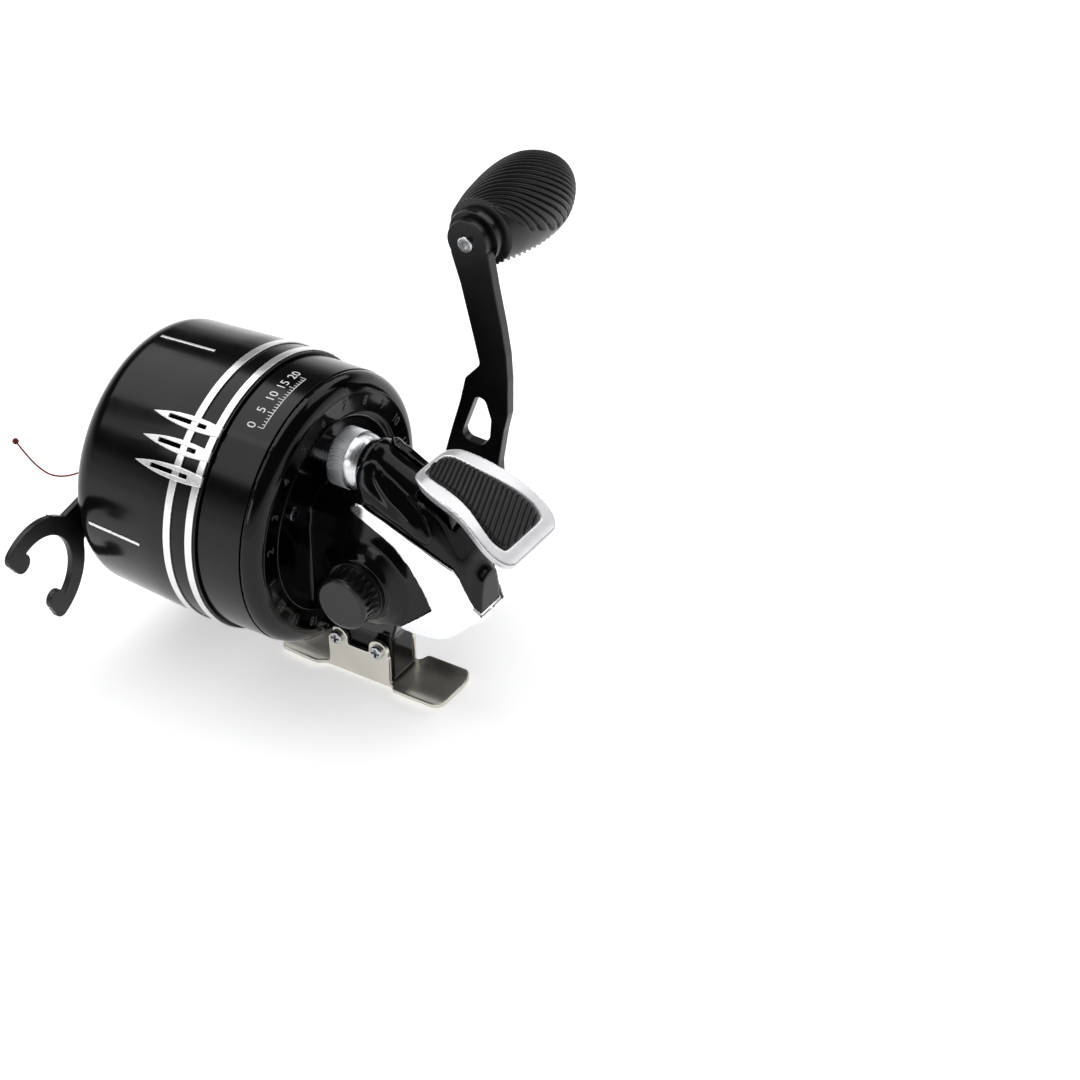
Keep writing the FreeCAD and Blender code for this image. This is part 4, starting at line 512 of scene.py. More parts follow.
def copy_of(node: str, name: str) -> bpy.types.Object:
    """Copy a solid's mesh to a new piece and merge it.

    Args:
        node: Name of the solid.
        name: Name of the new piece.

    Returns:
        The new piece, with flat regions joined to single faces.
    """
    piece = bpy.data.objects.new(name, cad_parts[node].data.copy())
    bpy.context.scene.collection.objects.link(piece)
    piece.data.materials.clear()
    with editing(piece):
        bpy.ops.mesh.customdata_custom_splitnormals_clear()
        bpy.ops.mesh.select_all(action="SELECT")
        bpy.ops.mesh.remove_doubles(threshold=WELD * MM)
        bpy.ops.mesh.dissolve_limited(angle_limit=math.radians(0.2))
    return piece


def settle(piece: bpy.types.Object, finish: Finish, wardrobe: Wardrobe, body: str,
           replaced: Sequence[str]) -> None:
    """Give a finished piece its material, its body and the solids that it stands for.

    Args:
        piece: The piece, its place already in its mesh.
        finish: Its finish.
        wardrobe: Where finished materials are kept.
        body: The body that it moves with.
        replaced: Names of the solids that it replaces.
    """
    piece.data.materials.clear()
    piece.data.materials.append(wardrobe.material(finish))
    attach(piece, body)
    if replaced:
        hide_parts(*replaced)
    LOG.info("settled %s in %s", piece.name, finish.name)


def raise_figure(value: int, settings: Dict[str, Any]) -> bpy.types.Object:
    """Model a number flat at the origin.

    Args:
        value: The number.
        settings: Properties of its text, with sizes in metres.

    Returns:
        The number as a mesh.
    """
    clear_selection()
    bpy.ops.object.text_add(radius=1.0)
    text = bpy.context.object
    text.data.body = str(value)
    for name, setting in settings.items():
        setattr(text.data, name, setting)
    bpy.ops.object.convert(target="MESH")
    return bpy.context.object


def join(pieces: Sequence[bpy.types.Object], name: str) -> bpy.types.Object:
    """Join pieces into one, name it and merge its doubled vertices.

    Args:
        pieces: The pieces, the first of which takes the others in.
        name: Name of the joined piece.

    Returns:
        The joined piece.
    """
    clear_selection()
    for piece in pieces:
        piece.select_set(True)
    bpy.context.view_layer.objects.active = pieces[0]
    bpy.ops.object.join()
    joined = bpy.context.object
    joined.name = name
    tidy_mesh(joined)
    return joined


@dataclass(frozen=True)
class Flow:
    """Smooth line through stations, read at any station between them."""

    stations: Tuple[Tuple[float, ...], ...]

    def at(self, spot: float) -> Tuple[float, ...]:
        """Give the values at a station.

        Args:
            spot: The station, measured as the first value of each row.

        Returns:
            The other values there, each on its own smooth curve.
        """
        rows = self.stations
        sign = 1.0 if rows[-1][0] > rows[0][0] else -1.0
        k = max(i for i in range(len(rows) - 1) if i == 0 or sign * (spot - rows[i][0]) >= 0)
        start, end = rows[k], rows[k + 1]
        before = rows[k - 1] if k else start
        after = rows[k + 2] if k + 2 < len(rows) else end
        span = end[0] - start[0]
        share = min(max((spot - start[0]) / span, 0.0), 1.0)
        values = []
        for a, b, c, d in list(zip(before, start, end, after))[1:]:
            rise = (c - a) / (end[0] - before[0]) * span
            fall = (d - b) / (after[0] - start[0]) * span
            square, cube = share * share, share ** 3
            values.append((2 * cube - 3 * square + 1) * b + (cube - 2 * square + share) * rise
                          + (3 * square - 2 * cube) * c + (cube - square) * fall)
        return tuple(values)


class Axis(Enum):
    """Axis that a shell is turned about, valued as its place in a vector."""

    X = 0
    Y = 1

    def facing(self) -> Point:
        """Give the rotation that turns a flat circle to face along the axis."""
        quarter = math.radians(90)
        return (0.0, quarter, 0.0) if self is Axis.X else (quarter, 0.0, 0.0)


def turn_up(name: str, profile: Sequence[Pair], axis: Axis, centre: Point, around: int) -> bpy.types.Object:
    """Raise a turned shell from a circle that is extruded and resized station by station.

    Args:
        name: Name of the piece.
        profile: Stations along the axis with their radii, in millimetres.
        axis: The axis.
        centre: A point on the axis, in millimetres from the drum's axis.
        around: Number of vertices round the circle.

    Returns:
        The open shell, its ends still rings of edges.
    """
    index = axis.value
    spot = list(centre)
    spot[index] = profile[0][0]
    clear_selection()
    bpy.ops.mesh.primitive_circle_add(vertices=around, radius=profile[0][1] * MM, location=place(*spot),
                                      rotation=axis.facing())
    piece = bpy.context.object
    piece.name = name
    bpy.ops.object.transform_apply(location=True, rotation=True, scale=True)
    with editing(piece):
        bpy.ops.mesh.select_all(action="SELECT")
        for (station, radius), (following, reach) in zip(profile, profile[1:]):
            step = [0.0, 0.0, 0.0]
            step[index] = (following - station) * MM
            bpy.ops.mesh.extrude_edges_move(TRANSFORM_OT_translate={"value": step})
            spot[index] = following
            size = [reach / radius] * 3
            size[index] = 1.0
            bpy.ops.transform.resize(value=size, center_override=place(*spot))
    return piece


def close_ends(piece: bpy.types.Object) -> None:
    """Fill the open rings of a turned shell and turn its faces outwards."""
    with editing(piece) as mesh:
        choose(mesh, Element.EDGE, lambda edge: edge.is_boundary)
        bpy.ops.mesh.edge_face_add()
        face_outwards()


# Pieces that keep a solid's shape with softened edges


@dataclass(frozen=True)
class Softened:
    """A solid's copy whose sharp edges are broken as a mould or a tumbler leaves them.

    Attributes:
        node: Name of the solid.
        radius: Radius of the broken edges in millimetres.
        body: The body that it moves with.
        sharp: Least angle in degrees between the faces of an edge that is broken.
        shading: Angle in degrees up to which faces are shaded smooth.
        rounds: Number of strips that round an edge.
    """

    node: str
    radius: float
    body: str = "frame"
    sharp: float = 28.0
    shading: float = 28.0
    rounds: int = 2

    def build(self, wardrobe: Wardrobe) -> None:
        """Copy the solid, break its edges and settle it in its finish."""
        piece = copy_of(self.node, self.node + "_finished")
        apply_modifier(piece, "BEVEL", {
            "width": self.radius * MM, "segments": self.rounds, "limit_method": "ANGLE",
            "angle_limit": math.radians(self.sharp), "use_clamp_overlap": False, "miter_outer": "MITER_ARC"})
        smooth(piece, self.shading)
        apply_modifier(piece, "WEIGHTED_NORMAL", {"keep_sharp": True, "weight": 60})
        settle(piece, wardrobe.finishes[self.node], wardrobe, self.body, [self.node])


@dataclass(frozen=True)
class Tumbled:
    """A solid's copy rounded all over, as casting, polishing and plating leave it.

    Attributes:
        node: Name of the solid.
        cell: Size of the even mesh's cells in millimetres.
        passes: How often the mesh is relaxed.
        body: The body that it moves with.
        shading: Angle in degrees up to which faces are shaded smooth.
    """

    node: str
    cell: float
    passes: int
    body: str = "frame"
    shading: float = 70.0

    def build(self, wardrobe: Wardrobe) -> None:
        """Copy the solid, remesh it evenly, round its edges and settle it in its finish."""
        piece = copy_of(self.node, self.node + "_finished")
        apply_modifier(piece, "REMESH", {"mode": "VOXEL", "voxel_size": self.cell * MM})
        apply_modifier(piece, "SMOOTH", {"factor": 0.5, "iterations": self.passes})
        smooth(piece, self.shading)
        settle(piece, wardrobe.finishes[self.node], wardrobe, self.body, [self.node])


SOFTENED = (
    Softened("front_cover", 0.2), Softened("nose_nut", 0.25), Softened("front_fork", 0.3),
    Softened("body_collar", 0.15), Softened("band_front", 0.15), Softened("band_rear", 0.15),
    Softened("crank_arm", 0.25, "crank", shading=16.0),
    Softened("side_cap", 0.15), Softened("shaft_sleeve", 0.3, "crank"),
    Softened("crank_nut", 0.25, "crank"), Softened("knob_collar", 0.3, "crank"))
TUMBLED = (
    Tumbled("louvre_bezels_right", 0.1, 8), Tumbled("louvre_bezels_left", 0.1, 8),
    Tumbled("cover_stripes", 0.12, 3),
    Tumbled("trim_left", 0.2, 6), Tumbled("trim_right", 0.2, 6), Tumbled("rear_cover", 0.48, 8),
    Tumbled("thumb_pedal", 0.25, 14, "lever"), Tumbled("lever_arm", 0.25, 6, "lever"),
    Tumbled("foot_bracket", 0.22, 3))


# Crank knob


@dataclass
class KnobGrip:
    """Egg-shaped rubber grip with wavy flutes that run out before its neck.

    Sizes are millimetres. The weights were fitted to the valleys that show in the photograph. The seam is a
    plain strip along the grip, where the flutes start anew after each half turn.

    Attributes:
        wardrobe: Where finished materials are kept.
        start: Place of the neck's end along the grip's axis.
        length: Length of the egg.
        neck: Radius of the neck's end.
        belly: Largest radius.
        axis_y: Station of the grip's axis.
        axis_z: Level of the grip's axis.
        around: Number of vertices round the egg.
        rings: Number of rings along it.
        pitch: Distance from valley to valley in the flutes' field.
        depth: Depth of a valley.
        tip_radius: Radius within which the tip stays bare.
        set_turn: Angle of the seam in degrees.
        weights: Weights of x, y, z, xy, xz, yy, yz and zz in the field, for places in centimetres.
        crowding: Share, start and width of the growth that closes the valleys up where the field is high.
        ridge_shape: Exponent that shapes the ridges.
        seam: Half the width of the plain seam in degrees.
        seam_fade: Degrees over which the flutes come in beside the seam.
        end_fade: Length over which they come in and run out along the grip.
        crown: Place from the egg's middle past which the crown is plain.
        collar: Shares of the neck's radius between which its end is flat.
        plain_end: Place from the egg's middle where the flutes start, by the degrees past the seam.
    """

    wardrobe: Wardrobe
    start: float = 46.5
    length: float = 40.0
    neck: float = 9.4
    belly: float = 12.1
    axis_y: float = -35.4
    axis_z: float = 65.2
    around: int = 400
    rings: int = 180
    pitch: float = 1.62
    depth: float = 1.3
    tip_radius: float = 0.5
    set_turn: float = 30.0
    weights: Tuple[float, ...] = (-0.478, -0.849, -0.225, -0.116, -0.25, 0.212, 0.097, 0.337)
    crowding: Tuple[float, float, float] = (0.36, 10.5, 2.3)
    ridge_shape: float = 0.9
    seam: float = 4.0
    seam_fade: float = 5.0
    end_fade: float = 2.0
    crown: float = 19.2
    collar: Pair = (0.75, 0.95)
    plain_end: Flow = Flow(((0.0, -20.5), (60.0, -20.0), (110.0, -18.7), (145.0, -14.0), (160.0, -8.0),
                            (175.0, -2.0), (180.0, 0.0)))

    def flow(self) -> Flow:
        """Line of the bare egg as station, place along the axis and radius."""
        shares = ((0.0, 1.0, 0.0), (0.18, 0.4, 0.6), (0.45, 0.0, 1.0), (0.66, 0.0, 0.94), (0.82, 0.0, 0.72),
                  (0.92, 0.0, 0.45), (1.0, 0.0, 0.04))
        rows, run, last = [], 0.0, None
        for along, neck, belly in shares:
            here = (self.start + along * self.length, neck * self.neck + belly * self.belly)
            if last is not None:
                run += math.dist(here, last)
            rows.append((run,) + here)
            last = here
        return Flow(tuple(rows))

    def flute(self, spot: Vector) -> float:
        """Give the level of the flutes' field at a spot: whole pitches are valleys, closer where it is high.

        Args:
            spot: Place from the egg's middle, in millimetres.

        Returns:
            The level in millimetres.
        """
        x, y, z = spot * 0.1
        terms = (x, y, z, x * y, x * z, y * y, y * z, z * z)
        level = 10 * sum(weight * term for weight, term in zip(self.weights, terms))
        share, start, width = self.crowding
        return level + share * math.exp((level - start) / width)

    def groove(self, along: float, turn: float, radius: float) -> float:
        """Depth of the flutes at a place on the egg.

        Args:
            along: Station from the egg's middle in millimetres.
            turn: Angle from forward over the top, in degrees.
            radius: Radius of the bare egg there.

        Returns:
            The depth in millimetres.
        """
        half = (turn - self.set_turn) % 180.0
        angle = math.radians(half + self.set_turn)
        level = self.flute(Vector((along, radius * math.cos(angle), radius * math.sin(angle))))
        wave = abs(math.sin(math.pi * level / self.pitch))
        fade = clamp((half - self.seam) / self.seam_fade) * clamp((180.0 - self.seam - half) / self.seam_fade)
        reach = clamp((along - self.plain_end.at(half)[0]) / self.end_fade)
        crown = clamp((self.crown - along) / self.end_fade)
        return self.depth * (1 - wave ** self.ridge_shape) * fade * reach * crown

    def build(self) -> None:
        """Turn the egg up ring by ring, cut its flutes and settle it."""
        flow = self.flow()
        end = flow.stations[-1][0]
        profile = [(self.start, share * self.neck) for share in self.collar]
        profile += [flow.at(end * i / self.rings) for i in range(1, self.rings + 1)]
        centre = (self.start, self.axis_y, self.axis_z)
        piece = turn_up("knob_grip_fluted", profile, Axis.X, centre, self.around)
        middle = place(self.start + 0.5 * self.length, self.axis_y, self.axis_z)
        with editing(piece) as mesh:
            for vert in mesh.verts:
                spot = (vert.co - middle) / MM
                radius = math.hypot(spot.y, spot.z)
                turn = math.degrees(math.atan2(spot.z, spot.y)) % 360.0
                deep = self.groove(spot.x, turn, radius) if radius > self.tip_radius else 0.0
                share = 1 - deep / max(radius, deep + self.tip_radius)
                vert.co = middle + Vector((spot.x, spot.y * share, spot.z * share)) * MM
        close_ends(piece)
        smooth(piece, 60)
        settle(piece, GRIP_RUBBER, self.wardrobe, "knob", ["knob_grip"])


# Thumb pedal


@dataclass
class PedalPad:
    """Rubber insert of the thumb pedal: slanted ribs on a rounded, curved pad.

    Sizes are millimetres. Along the pad, the ribs stand a pitch divided by the stretch apart.

    Attributes:
        wardrobe: Where finished materials are kept.
        line: Rows of station, level and half the width.
        pitch: Distance from rib to rib before the stretch.
        stretch: How many times closer than that they stand.
        rib: Height of a rib.
        slant: Angle of the ribs in degrees.
        flank: Steepness of a rib's sides, as pitches over the width of a side.
        roundness: Exponent that rounds the sides.
        border: Width of the strip along the sides where the ribs run out.
        gap: Gap to the pedal's rim.
        corner: Radius of the pad's corners.
        sink: Depth of the pad's body.
        rise: Height of the ribs' tops over the line.
        across: Number of cells over the width.
        along: Number of cells over the length.
    """

    wardrobe: Wardrobe
    line: Flow = Flow(((-50.6, 25.4, 4.4), (-53.0, 25.5, 5.2), (-57.0, 24.9, 5.6), (-62.0, 23.4, 6.2),
                       (-67.0, 21.1, 7.4), (-71.0, 18.6, 8.7), (-75.0, 15.6, 9.3), (-77.6, 13.7, 9.0)))
    pitch: float = 1.6
    stretch: float = 1.22
    rib: float = 0.75
    slant: float = 18.0
    flank: float = 3.2
    roundness: float = 0.7
    border: float = 0.7
    gap: float = 0.1
    corner: float = 3.2
    sink: float = 1.2
    rise: float = 0.35
    across: int = 40
    along: int = 260

    def half(self, y: float) -> float:
        """Half width of the pad at a station, with its corners rounded."""
        front, rear = self.line.stations[0][0], self.line.stations[-1][0]
        wide = self.line.at(y)[1] - self.gap
        reach = min(front - y, y - rear)
        if reach >= self.corner:
            return wide
        return wide - self.corner + math.sqrt(max(self.corner ** 2 - (self.corner - max(reach, 0)) ** 2, 0))

    def top(self, x: float, y: float) -> float:
        """Height of the ribbed top at a place."""
        phase = self.stretch * (y - x * math.tan(math.radians(self.slant))) / self.pitch % 1.0
        ridge = min(1.0, self.flank * phase, self.flank * (1 - phase)) ** self.roundness
        edge = clamp((self.half(y) - abs(x)) / self.border)
        return self.line.at(y)[0] + self.rise - self.rib * (1 - ridge * edge ** 0.5)

    def build(self) -> None:
        """Lay a fine grid on the pad's outline, raise its ribs and give it its depth."""
        clear_selection()
        bpy.ops.mesh.primitive_grid_add(x_subdivisions=self.across, y_subdivisions=self.along, size=2.0)
        piece = bpy.context.object
        piece.name = "pedal_pad_ribbed"
        front, rear = self.line.stations[0][0], self.line.stations[-1][0]
        with editing(piece) as mesh:
            for vert in mesh.verts:
                y = rear + (front - rear) * (vert.co.y + 1) / 2
                x = vert.co.x * self.half(y)
                vert.co = place(x, y, self.top(x, y))
            choose(mesh, Element.EDGE, lambda edge: edge.is_boundary)
            bpy.ops.mesh.extrude_edges_move(TRANSFORM_OT_translate={"value": (0, 0, -self.sink * MM)})
            bpy.ops.mesh.edge_face_add()
            face_outwards()
        smooth(piece, 50)
        settle(piece, PAD_RUBBER, self.wardrobe, "lever", ["pedal_pad"])


# Drag wheel


@dataclass
class DragWheel:
    """Turned drag wheel: a finely knurled rim and a bright cone behind it.

    Sizes are millimetres, and places along the axis are stations.

    Attributes:
        wardrobe: Where finished materials are kept.
        axis_z: Level of the wheel's axis.
        front: Place of the rim's front face.
        floor: Place of the neck's front end.
        neck: Radius of the neck.
        radius: Radius of the rim.
        knurl: Breadth of the rim.
        ridges: Number of ridges round it.
        bite: Depth of the valleys between them.
        end: Place of the cone's rear end.
        end_radius: Radius that the cone narrows to.
        front_chamfer: Size of the rim's front chamfer.
        rear_chamfer: Size of its rear chamfer.
        front_lip: How far the front face reaches inwards from the rim's radius.
        rear_lip: How far the rear face does.
        inset: How far within the rim's radius the inner shell runs.
        bulge: Exponent of the cone's curve.
        facets: Number of vertices round the cone.
    """

    wardrobe: Wardrobe
    axis_z: float = 18.4
    front: float = -22.3
    floor: float = -17.7
    neck: float = 4.0
    radius: float = 8.0
    knurl: float = 5.3
    ridges: int = 76
    bite: float = 0.42
    end: float = -31.5
    end_radius: float = 7.0
    front_chamfer: float = 0.3
    rear_chamfer: float = 0.15
    front_lip: float = 1.0
    rear_lip: float = 0.8
    inset: float = 1.2
    bulge: float = 1.7
    facets: int = 96

    def rim(self) -> None:
        """Knurled rim, its every second row of vertices drawn in and its ends chamfered."""
        rear = self.front - self.knurl
        profile = ((self.front, self.radius - self.front_lip), (self.front, self.radius - self.front_chamfer),
                   (self.front - self.front_chamfer, self.radius), (rear + self.rear_chamfer, self.radius),
                   (rear, self.radius - self.rear_chamfer), (rear, self.radius - self.rear_lip))
        piece = turn_up("drag_wheel_rim", profile, Axis.Y, (0.0, self.front, self.axis_z), 2 * self.ridges)
        with editing(piece) as mesh:
            axis = place(0.0, self.front, self.axis_z)
            step = math.pi / self.ridges

            def valley(vert: bmesh.types.BMVert) -> bool:
                """Say whether a vertex lies in a valley of the knurl."""
                turn = math.atan2(vert.co.z - axis.z, vert.co.x - axis.x) / step
                return round(turn) % 2 == 0

            choose(mesh, Element.VERT, valley)
            size = 1 - self.bite / self.radius
            bpy.ops.transform.resize(value=(size, 1.0, size), center_override=axis)
        close_ends(piece)
        smooth(piece, 20)
        settle(piece, KNURLED_ALLOY, self.wardrobe, "drag", [])

    def cone(self) -> None:
        """Polished cone and neck, turned as one smooth shape through the rim."""
        rear = self.front - self.knurl
        reach = rear - self.end
        taper = self.radius - self.end_radius
        inner = self.radius - self.inset
        neck = [(self.floor, self.neck - 0.4), (self.floor, self.neck), (self.front + 0.6, self.neck)]
        cone = [(rear - reach * share, self.radius - 0.1 - taper * share ** self.bulge)
                for share in (0.0, 0.12, 0.24, 0.36, 0.48, 0.6, 0.7, 0.8, 0.9)]
        tail = [(self.end + 0.12, self.end_radius - 0.5), (self.end, self.end_radius - 1.1)]
        profile = neck + [(self.front + 0.1, inner), (rear, inner)] + cone + tail
        piece = turn_up("drag_wheel_cone", profile, Axis.Y, (0.0, self.floor, self.axis_z), self.facets)
        close_ends(piece)
        smooth(piece, 35)
        settle(piece, TURNED_ALLOY, self.wardrobe, "drag", ["drag_wheel"])

    def build(self) -> None:
        """Build the rim and the cone."""
        self.rim()
        self.cone()


# Relief on the fairing's flanks


@dataclass
class FlankPanels:
    """Raised panel on each flank of the fairing, with a leaf-shaped scoop under the crown's edge.

    Sizes are millimetres, and places are stations and levels.

    Attributes:
        wardrobe: Where finished materials are kept.
        arch: The panel's outline.
        ridge: The scoop's lower edge.
        crest: The scoop's upper edge.
        middle: Middle of the sheet that is laid on the flank.
        half_size: Half its size.
        margin: How far it reaches past the outline.
        step: Size of its cells.
        raised: Height of the panel over the bare flank.
        sunk: Depth of its surroundings under the bare flank.
        keel: Height of the scoop's lower edge over the panel.
        bead: Height of the bead on the upper edge.
        bead_width: Half the width of that bead.
        slope: Width of the slope at the panel's outline.
        slope_start: Distance to the outline where the slope starts, negative outside.
        scoop_run: Width over which the lower edge falls to the panel.
        scoop_ends: Stations of the scoop's ends.
        rear_fade: Station where the scoop comes in at the rear, and over what length.
        front_fade: Station where it has run out at the front, and over what length.
        bead_fade: Station where the bead comes in, and over what length.
        depth: Thickness of the sheet.
        outside: Place beside the reel from which the flank is felt for.
    """

    wardrobe: Wardrobe
    arch: Tuple[Pair, ...] = (
        (-35.8, 15.0), (-35.2, 16.4), (-34.2, 17.9), (-33.5, 19.2), (-33.2, 20.6), (-33.3, 21.9),
        (-33.8, 22.9), (-34.7, 23.4), (-35.7, 23.2), (-36.6, 22.5), (-38.6, 21.0), (-41.7, 19.3),
        (-44.5, 17.7), (-47.5, 16.2), (-49.4, 15.4), (-51.4, 14.0), (-53.6, 11.8), (-54.8, 9.6),
        (-54.2, 8.0), (-52.0, 8.6), (-47.5, 10.9), (-44.4, 12.0), (-41.4, 13.2), (-38.3, 14.6))
    ridge: Flow = Flow(((-36.2, 22.4), (-37.2, 21.2), (-38.2, 20.0), (-40.4, 17.9), (-42.9, 16.0),
                        (-46.2, 14.1), (-50.3, 11.6), (-54.0, 9.4)))
    crest: Flow = Flow(((-36.2, 22.6), (-38.6, 21.0), (-41.7, 19.3), (-44.5, 17.7), (-47.5, 16.2),
                        (-49.4, 15.4), (-51.4, 14.0), (-54.0, 11.4)))
    middle: Pair = (-44.0, 16.0)
    half_size: Pair = (11.5, 8.75)
    margin: float = 0.8
    step: float = 0.17
    raised: float = 0.45
    sunk: float = 0.35
    keel: float = 0.45
    bead: float = 0.3
    bead_width: float = 0.35
    slope: float = 0.9
    slope_start: float = -0.3
    scoop_run: float = 1.6
    scoop_ends: Pair = (-54.0, -36.2)
    rear_fade: Pair = (-52.0, 3.0)
    front_fade: Pair = (-36.4, 1.0)
    bead_fade: Pair = (-49.0, 3.0)
    depth: float = 1.0
    outside: float = -30.0

    def inside(self, y: float, z: float) -> float:
        """Distance to the panel's outline, positive inside it."""
        nearest, crossings = math.inf, 0
        last = self.arch[-1]
        for spot in self.arch:
            run = (spot[0] - last[0], spot[1] - last[1])
            share = clamp(((y - last[0]) * run[0] + (z - last[1]) * run[1]) / (run[0] ** 2 + run[1] ** 2))
            nearest = min(nearest, math.hypot(y - last[0] - share * run[0], z - last[1] - share * run[1]))
            if (last[1] > z) != (spot[1] > z) and y < last[0] + run[0] * (z - last[1]) / run[1]:
                crossings += 1
            last = spot
        return nearest if crossings % 2 else -nearest

    def height(self, y: float, z: float) -> float:
        """Height of the relief over the bare flank at a station and level."""
        share = clamp((self.inside(y, z) - self.slope_start) / self.slope)
        level = (self.raised + self.sunk) * share * share * (3 - 2 * share) - self.sunk
        spot = min(max(y, self.scoop_ends[0]), self.scoop_ends[1])
        low, high = self.ridge.at(spot)[0], self.crest.at(spot)[0]
        wide = max(high - low, 0.2)
        fade = clamp((y - self.rear_fade[0]) / self.rear_fade[1])
        fade *= clamp((self.front_fade[0] - y) / self.front_fade[1])
        if z > low:
            scoop = self.keel * (1 - (z - low) / wide) - (self.raised - 0.05) * min((z - low) / wide, 1.0)
        else:
            scoop = self.keel * max(1 - (low - z) / self.scoop_run, 0.0) ** 2
        rim = self.bead * max(1 - abs(z - high) / self.bead_width, 0.0) ** 0.5
        rim *= clamp((y - self.bead_fade[0]) / self.bead_fade[1])
        return level + fade * (max(scoop, -self.raised) * share + rim)

    def build(self) -> None:
        """Lay a fine sheet on the left flank, raise the relief, give it depth and mirror it."""
        flank = bpy.data.objects["rear_cover_finished"]
        back = flank.matrix_world.inverted()
        inwards = back.to_3x3() @ Vector((1, 0, 0))
        columns, rows = (round(2 * half / self.step) for half in self.half_size)
        clear_selection()
        bpy.ops.mesh.primitive_grid_add(x_subdivisions=columns, y_subdivisions=rows, size=2.0)
        piece = bpy.context.object
        piece.name = "flank_panels"
        with editing(piece) as mesh:
            for vert in mesh.verts:
                y = self.middle[0] + self.half_size[0] * vert.co.x
                z = self.middle[1] + self.half_size[1] * vert.co.y
                hit, spot, normal, _ = flank.ray_cast(back @ place(self.outside, y, z), inwards)
                if hit and self.inside(y, z) > -self.margin:
                    vert.co = flank.matrix_world @ spot + normal * self.height(y, z) * MM
                else:
                    vert.tag = True
            choose(mesh, Element.VERT, lambda vert: vert.tag)
            bpy.ops.mesh.delete(type="VERT")
            face_outwards()
        apply_modifier(piece, "SMOOTH", {"factor": 0.5, "iterations": 2})
        apply_modifier(piece, "SOLIDIFY", {"thickness": self.depth * MM, "offset": 1.0})
        apply_modifier(piece, "MIRROR", {"use_axis": (True, False, False), "use_mirror_merge": False})
        tidy_mesh(piece)
        smooth(piece, 50)
        settle(piece, HOUSING_ABS, self.wardrobe, "frame", [])


# Return spring


@dataclass
class ReturnSpring:
    """Return spring on the shaft, kept at rest. On the reel, its coils close up as the lever pushes the shaft
    forward.

    Attributes:
        wardrobe: Where finished materials are kept.
        front: Station of its front end in millimetres, which stays; not used.
        rear: Station of its rear end at rest; not used.
        travel: How far the shaft slides in millimetres; not used.
    """

    wardrobe: Wardrobe
    front: float = -46.93
    rear: float = -54.56
    travel: float = 3.3

    def build(self) -> None:
        """Copy the coil, shade it smooth, settle it in its finish and give it its own mesh."""
        piece = copy_of("shaft_spring", "return_spring")
        smooth(piece, 40)
        settle(piece, SHAFT_STEEL, self.wardrobe, "frame", ["shaft_spring"])
        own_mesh(piece)


# Lines and numbers on the ring, and the scale on the collar


@dataclass
class RingBeads:
    """Two fine raised lines on the rear ring: at the dish's edge and where the corner starts."""

    wardrobe: Wardrobe
    face: float = -20.0
    radii: Pair = (27.05, 32.85)
    half: float = 0.2

    def build(self) -> None:
        """Lay each bead as a thin ring half sunk in the face."""
        for name, radius in zip(("dish_bead", "corner_bead"), self.radii):
            clear_selection()
            bpy.ops.mesh.primitive_torus_add(
                location=place(0.0, self.face, 0.0), rotation=(math.radians(90), 0.0, 0.0),
                major_radius=radius * MM, minor_radius=self.half * MM, major_segments=240, minor_segments=12)
            piece = bpy.context.object
            piece.name = name
            bpy.ops.object.transform_apply(location=True, rotation=True, scale=True)
            smooth(piece, 60)
            settle(piece, HOUSING_ABS, self.wardrobe, "frame", [])


@dataclass
class RingNumbers:
    """Plain raised numbers round the rear ring, counted like a dial's."""

    wardrobe: Wardrobe
    count: int = 20
    first: int = 1
    radius: float = 30.1
    height: float = 3.6
    relief: float = 0.22
    bevel: float = 0.06
    face: float = -20.0
    start: float = 189.0

    def number(self, value: int, degrees: float) -> bpy.types.Object:
        """Model one number at its place on the ring.

        Args:
            value: The number.
            degrees: Its angle from the crank side over the top.

        Returns:
            The number as a mesh at its place.
        """
        piece = raise_figure(value, {
            "align_x": "CENTER", "align_y": "CENTER", "size": self.height * MM,
            "extrude": self.relief * MM / 2, "bevel_depth": self.bevel * MM, "bevel_resolution": 1,
            "resolution_u": 3})
        angle = math.radians(degrees)
        upright = Matrix.Rotation(math.radians(90), 4, "X")
        turned = Matrix.Rotation(math.radians(90) - angle, 4, "Y")
        spot = place(self.radius * math.cos(angle), self.face, self.radius * math.sin(angle))
        piece.matrix_world = Matrix.Translation(spot) @ turned @ upright
        bpy.ops.object.transform_apply(location=True, rotation=True, scale=True)
        return piece

    def build(self) -> None:
        """Model the numbers and join them."""
        step = 360.0 / self.count
        piece = join([self.number(self.first + i, self.start - step * i) for i in range(self.count)],
                     "ring_numbers")
        smooth(piece, 40)
        # The numbers' dark grey is a painted highlight
        settle(piece, HIGHLIT_NUMBER_ABS, self.wardrobe, "frame", [])


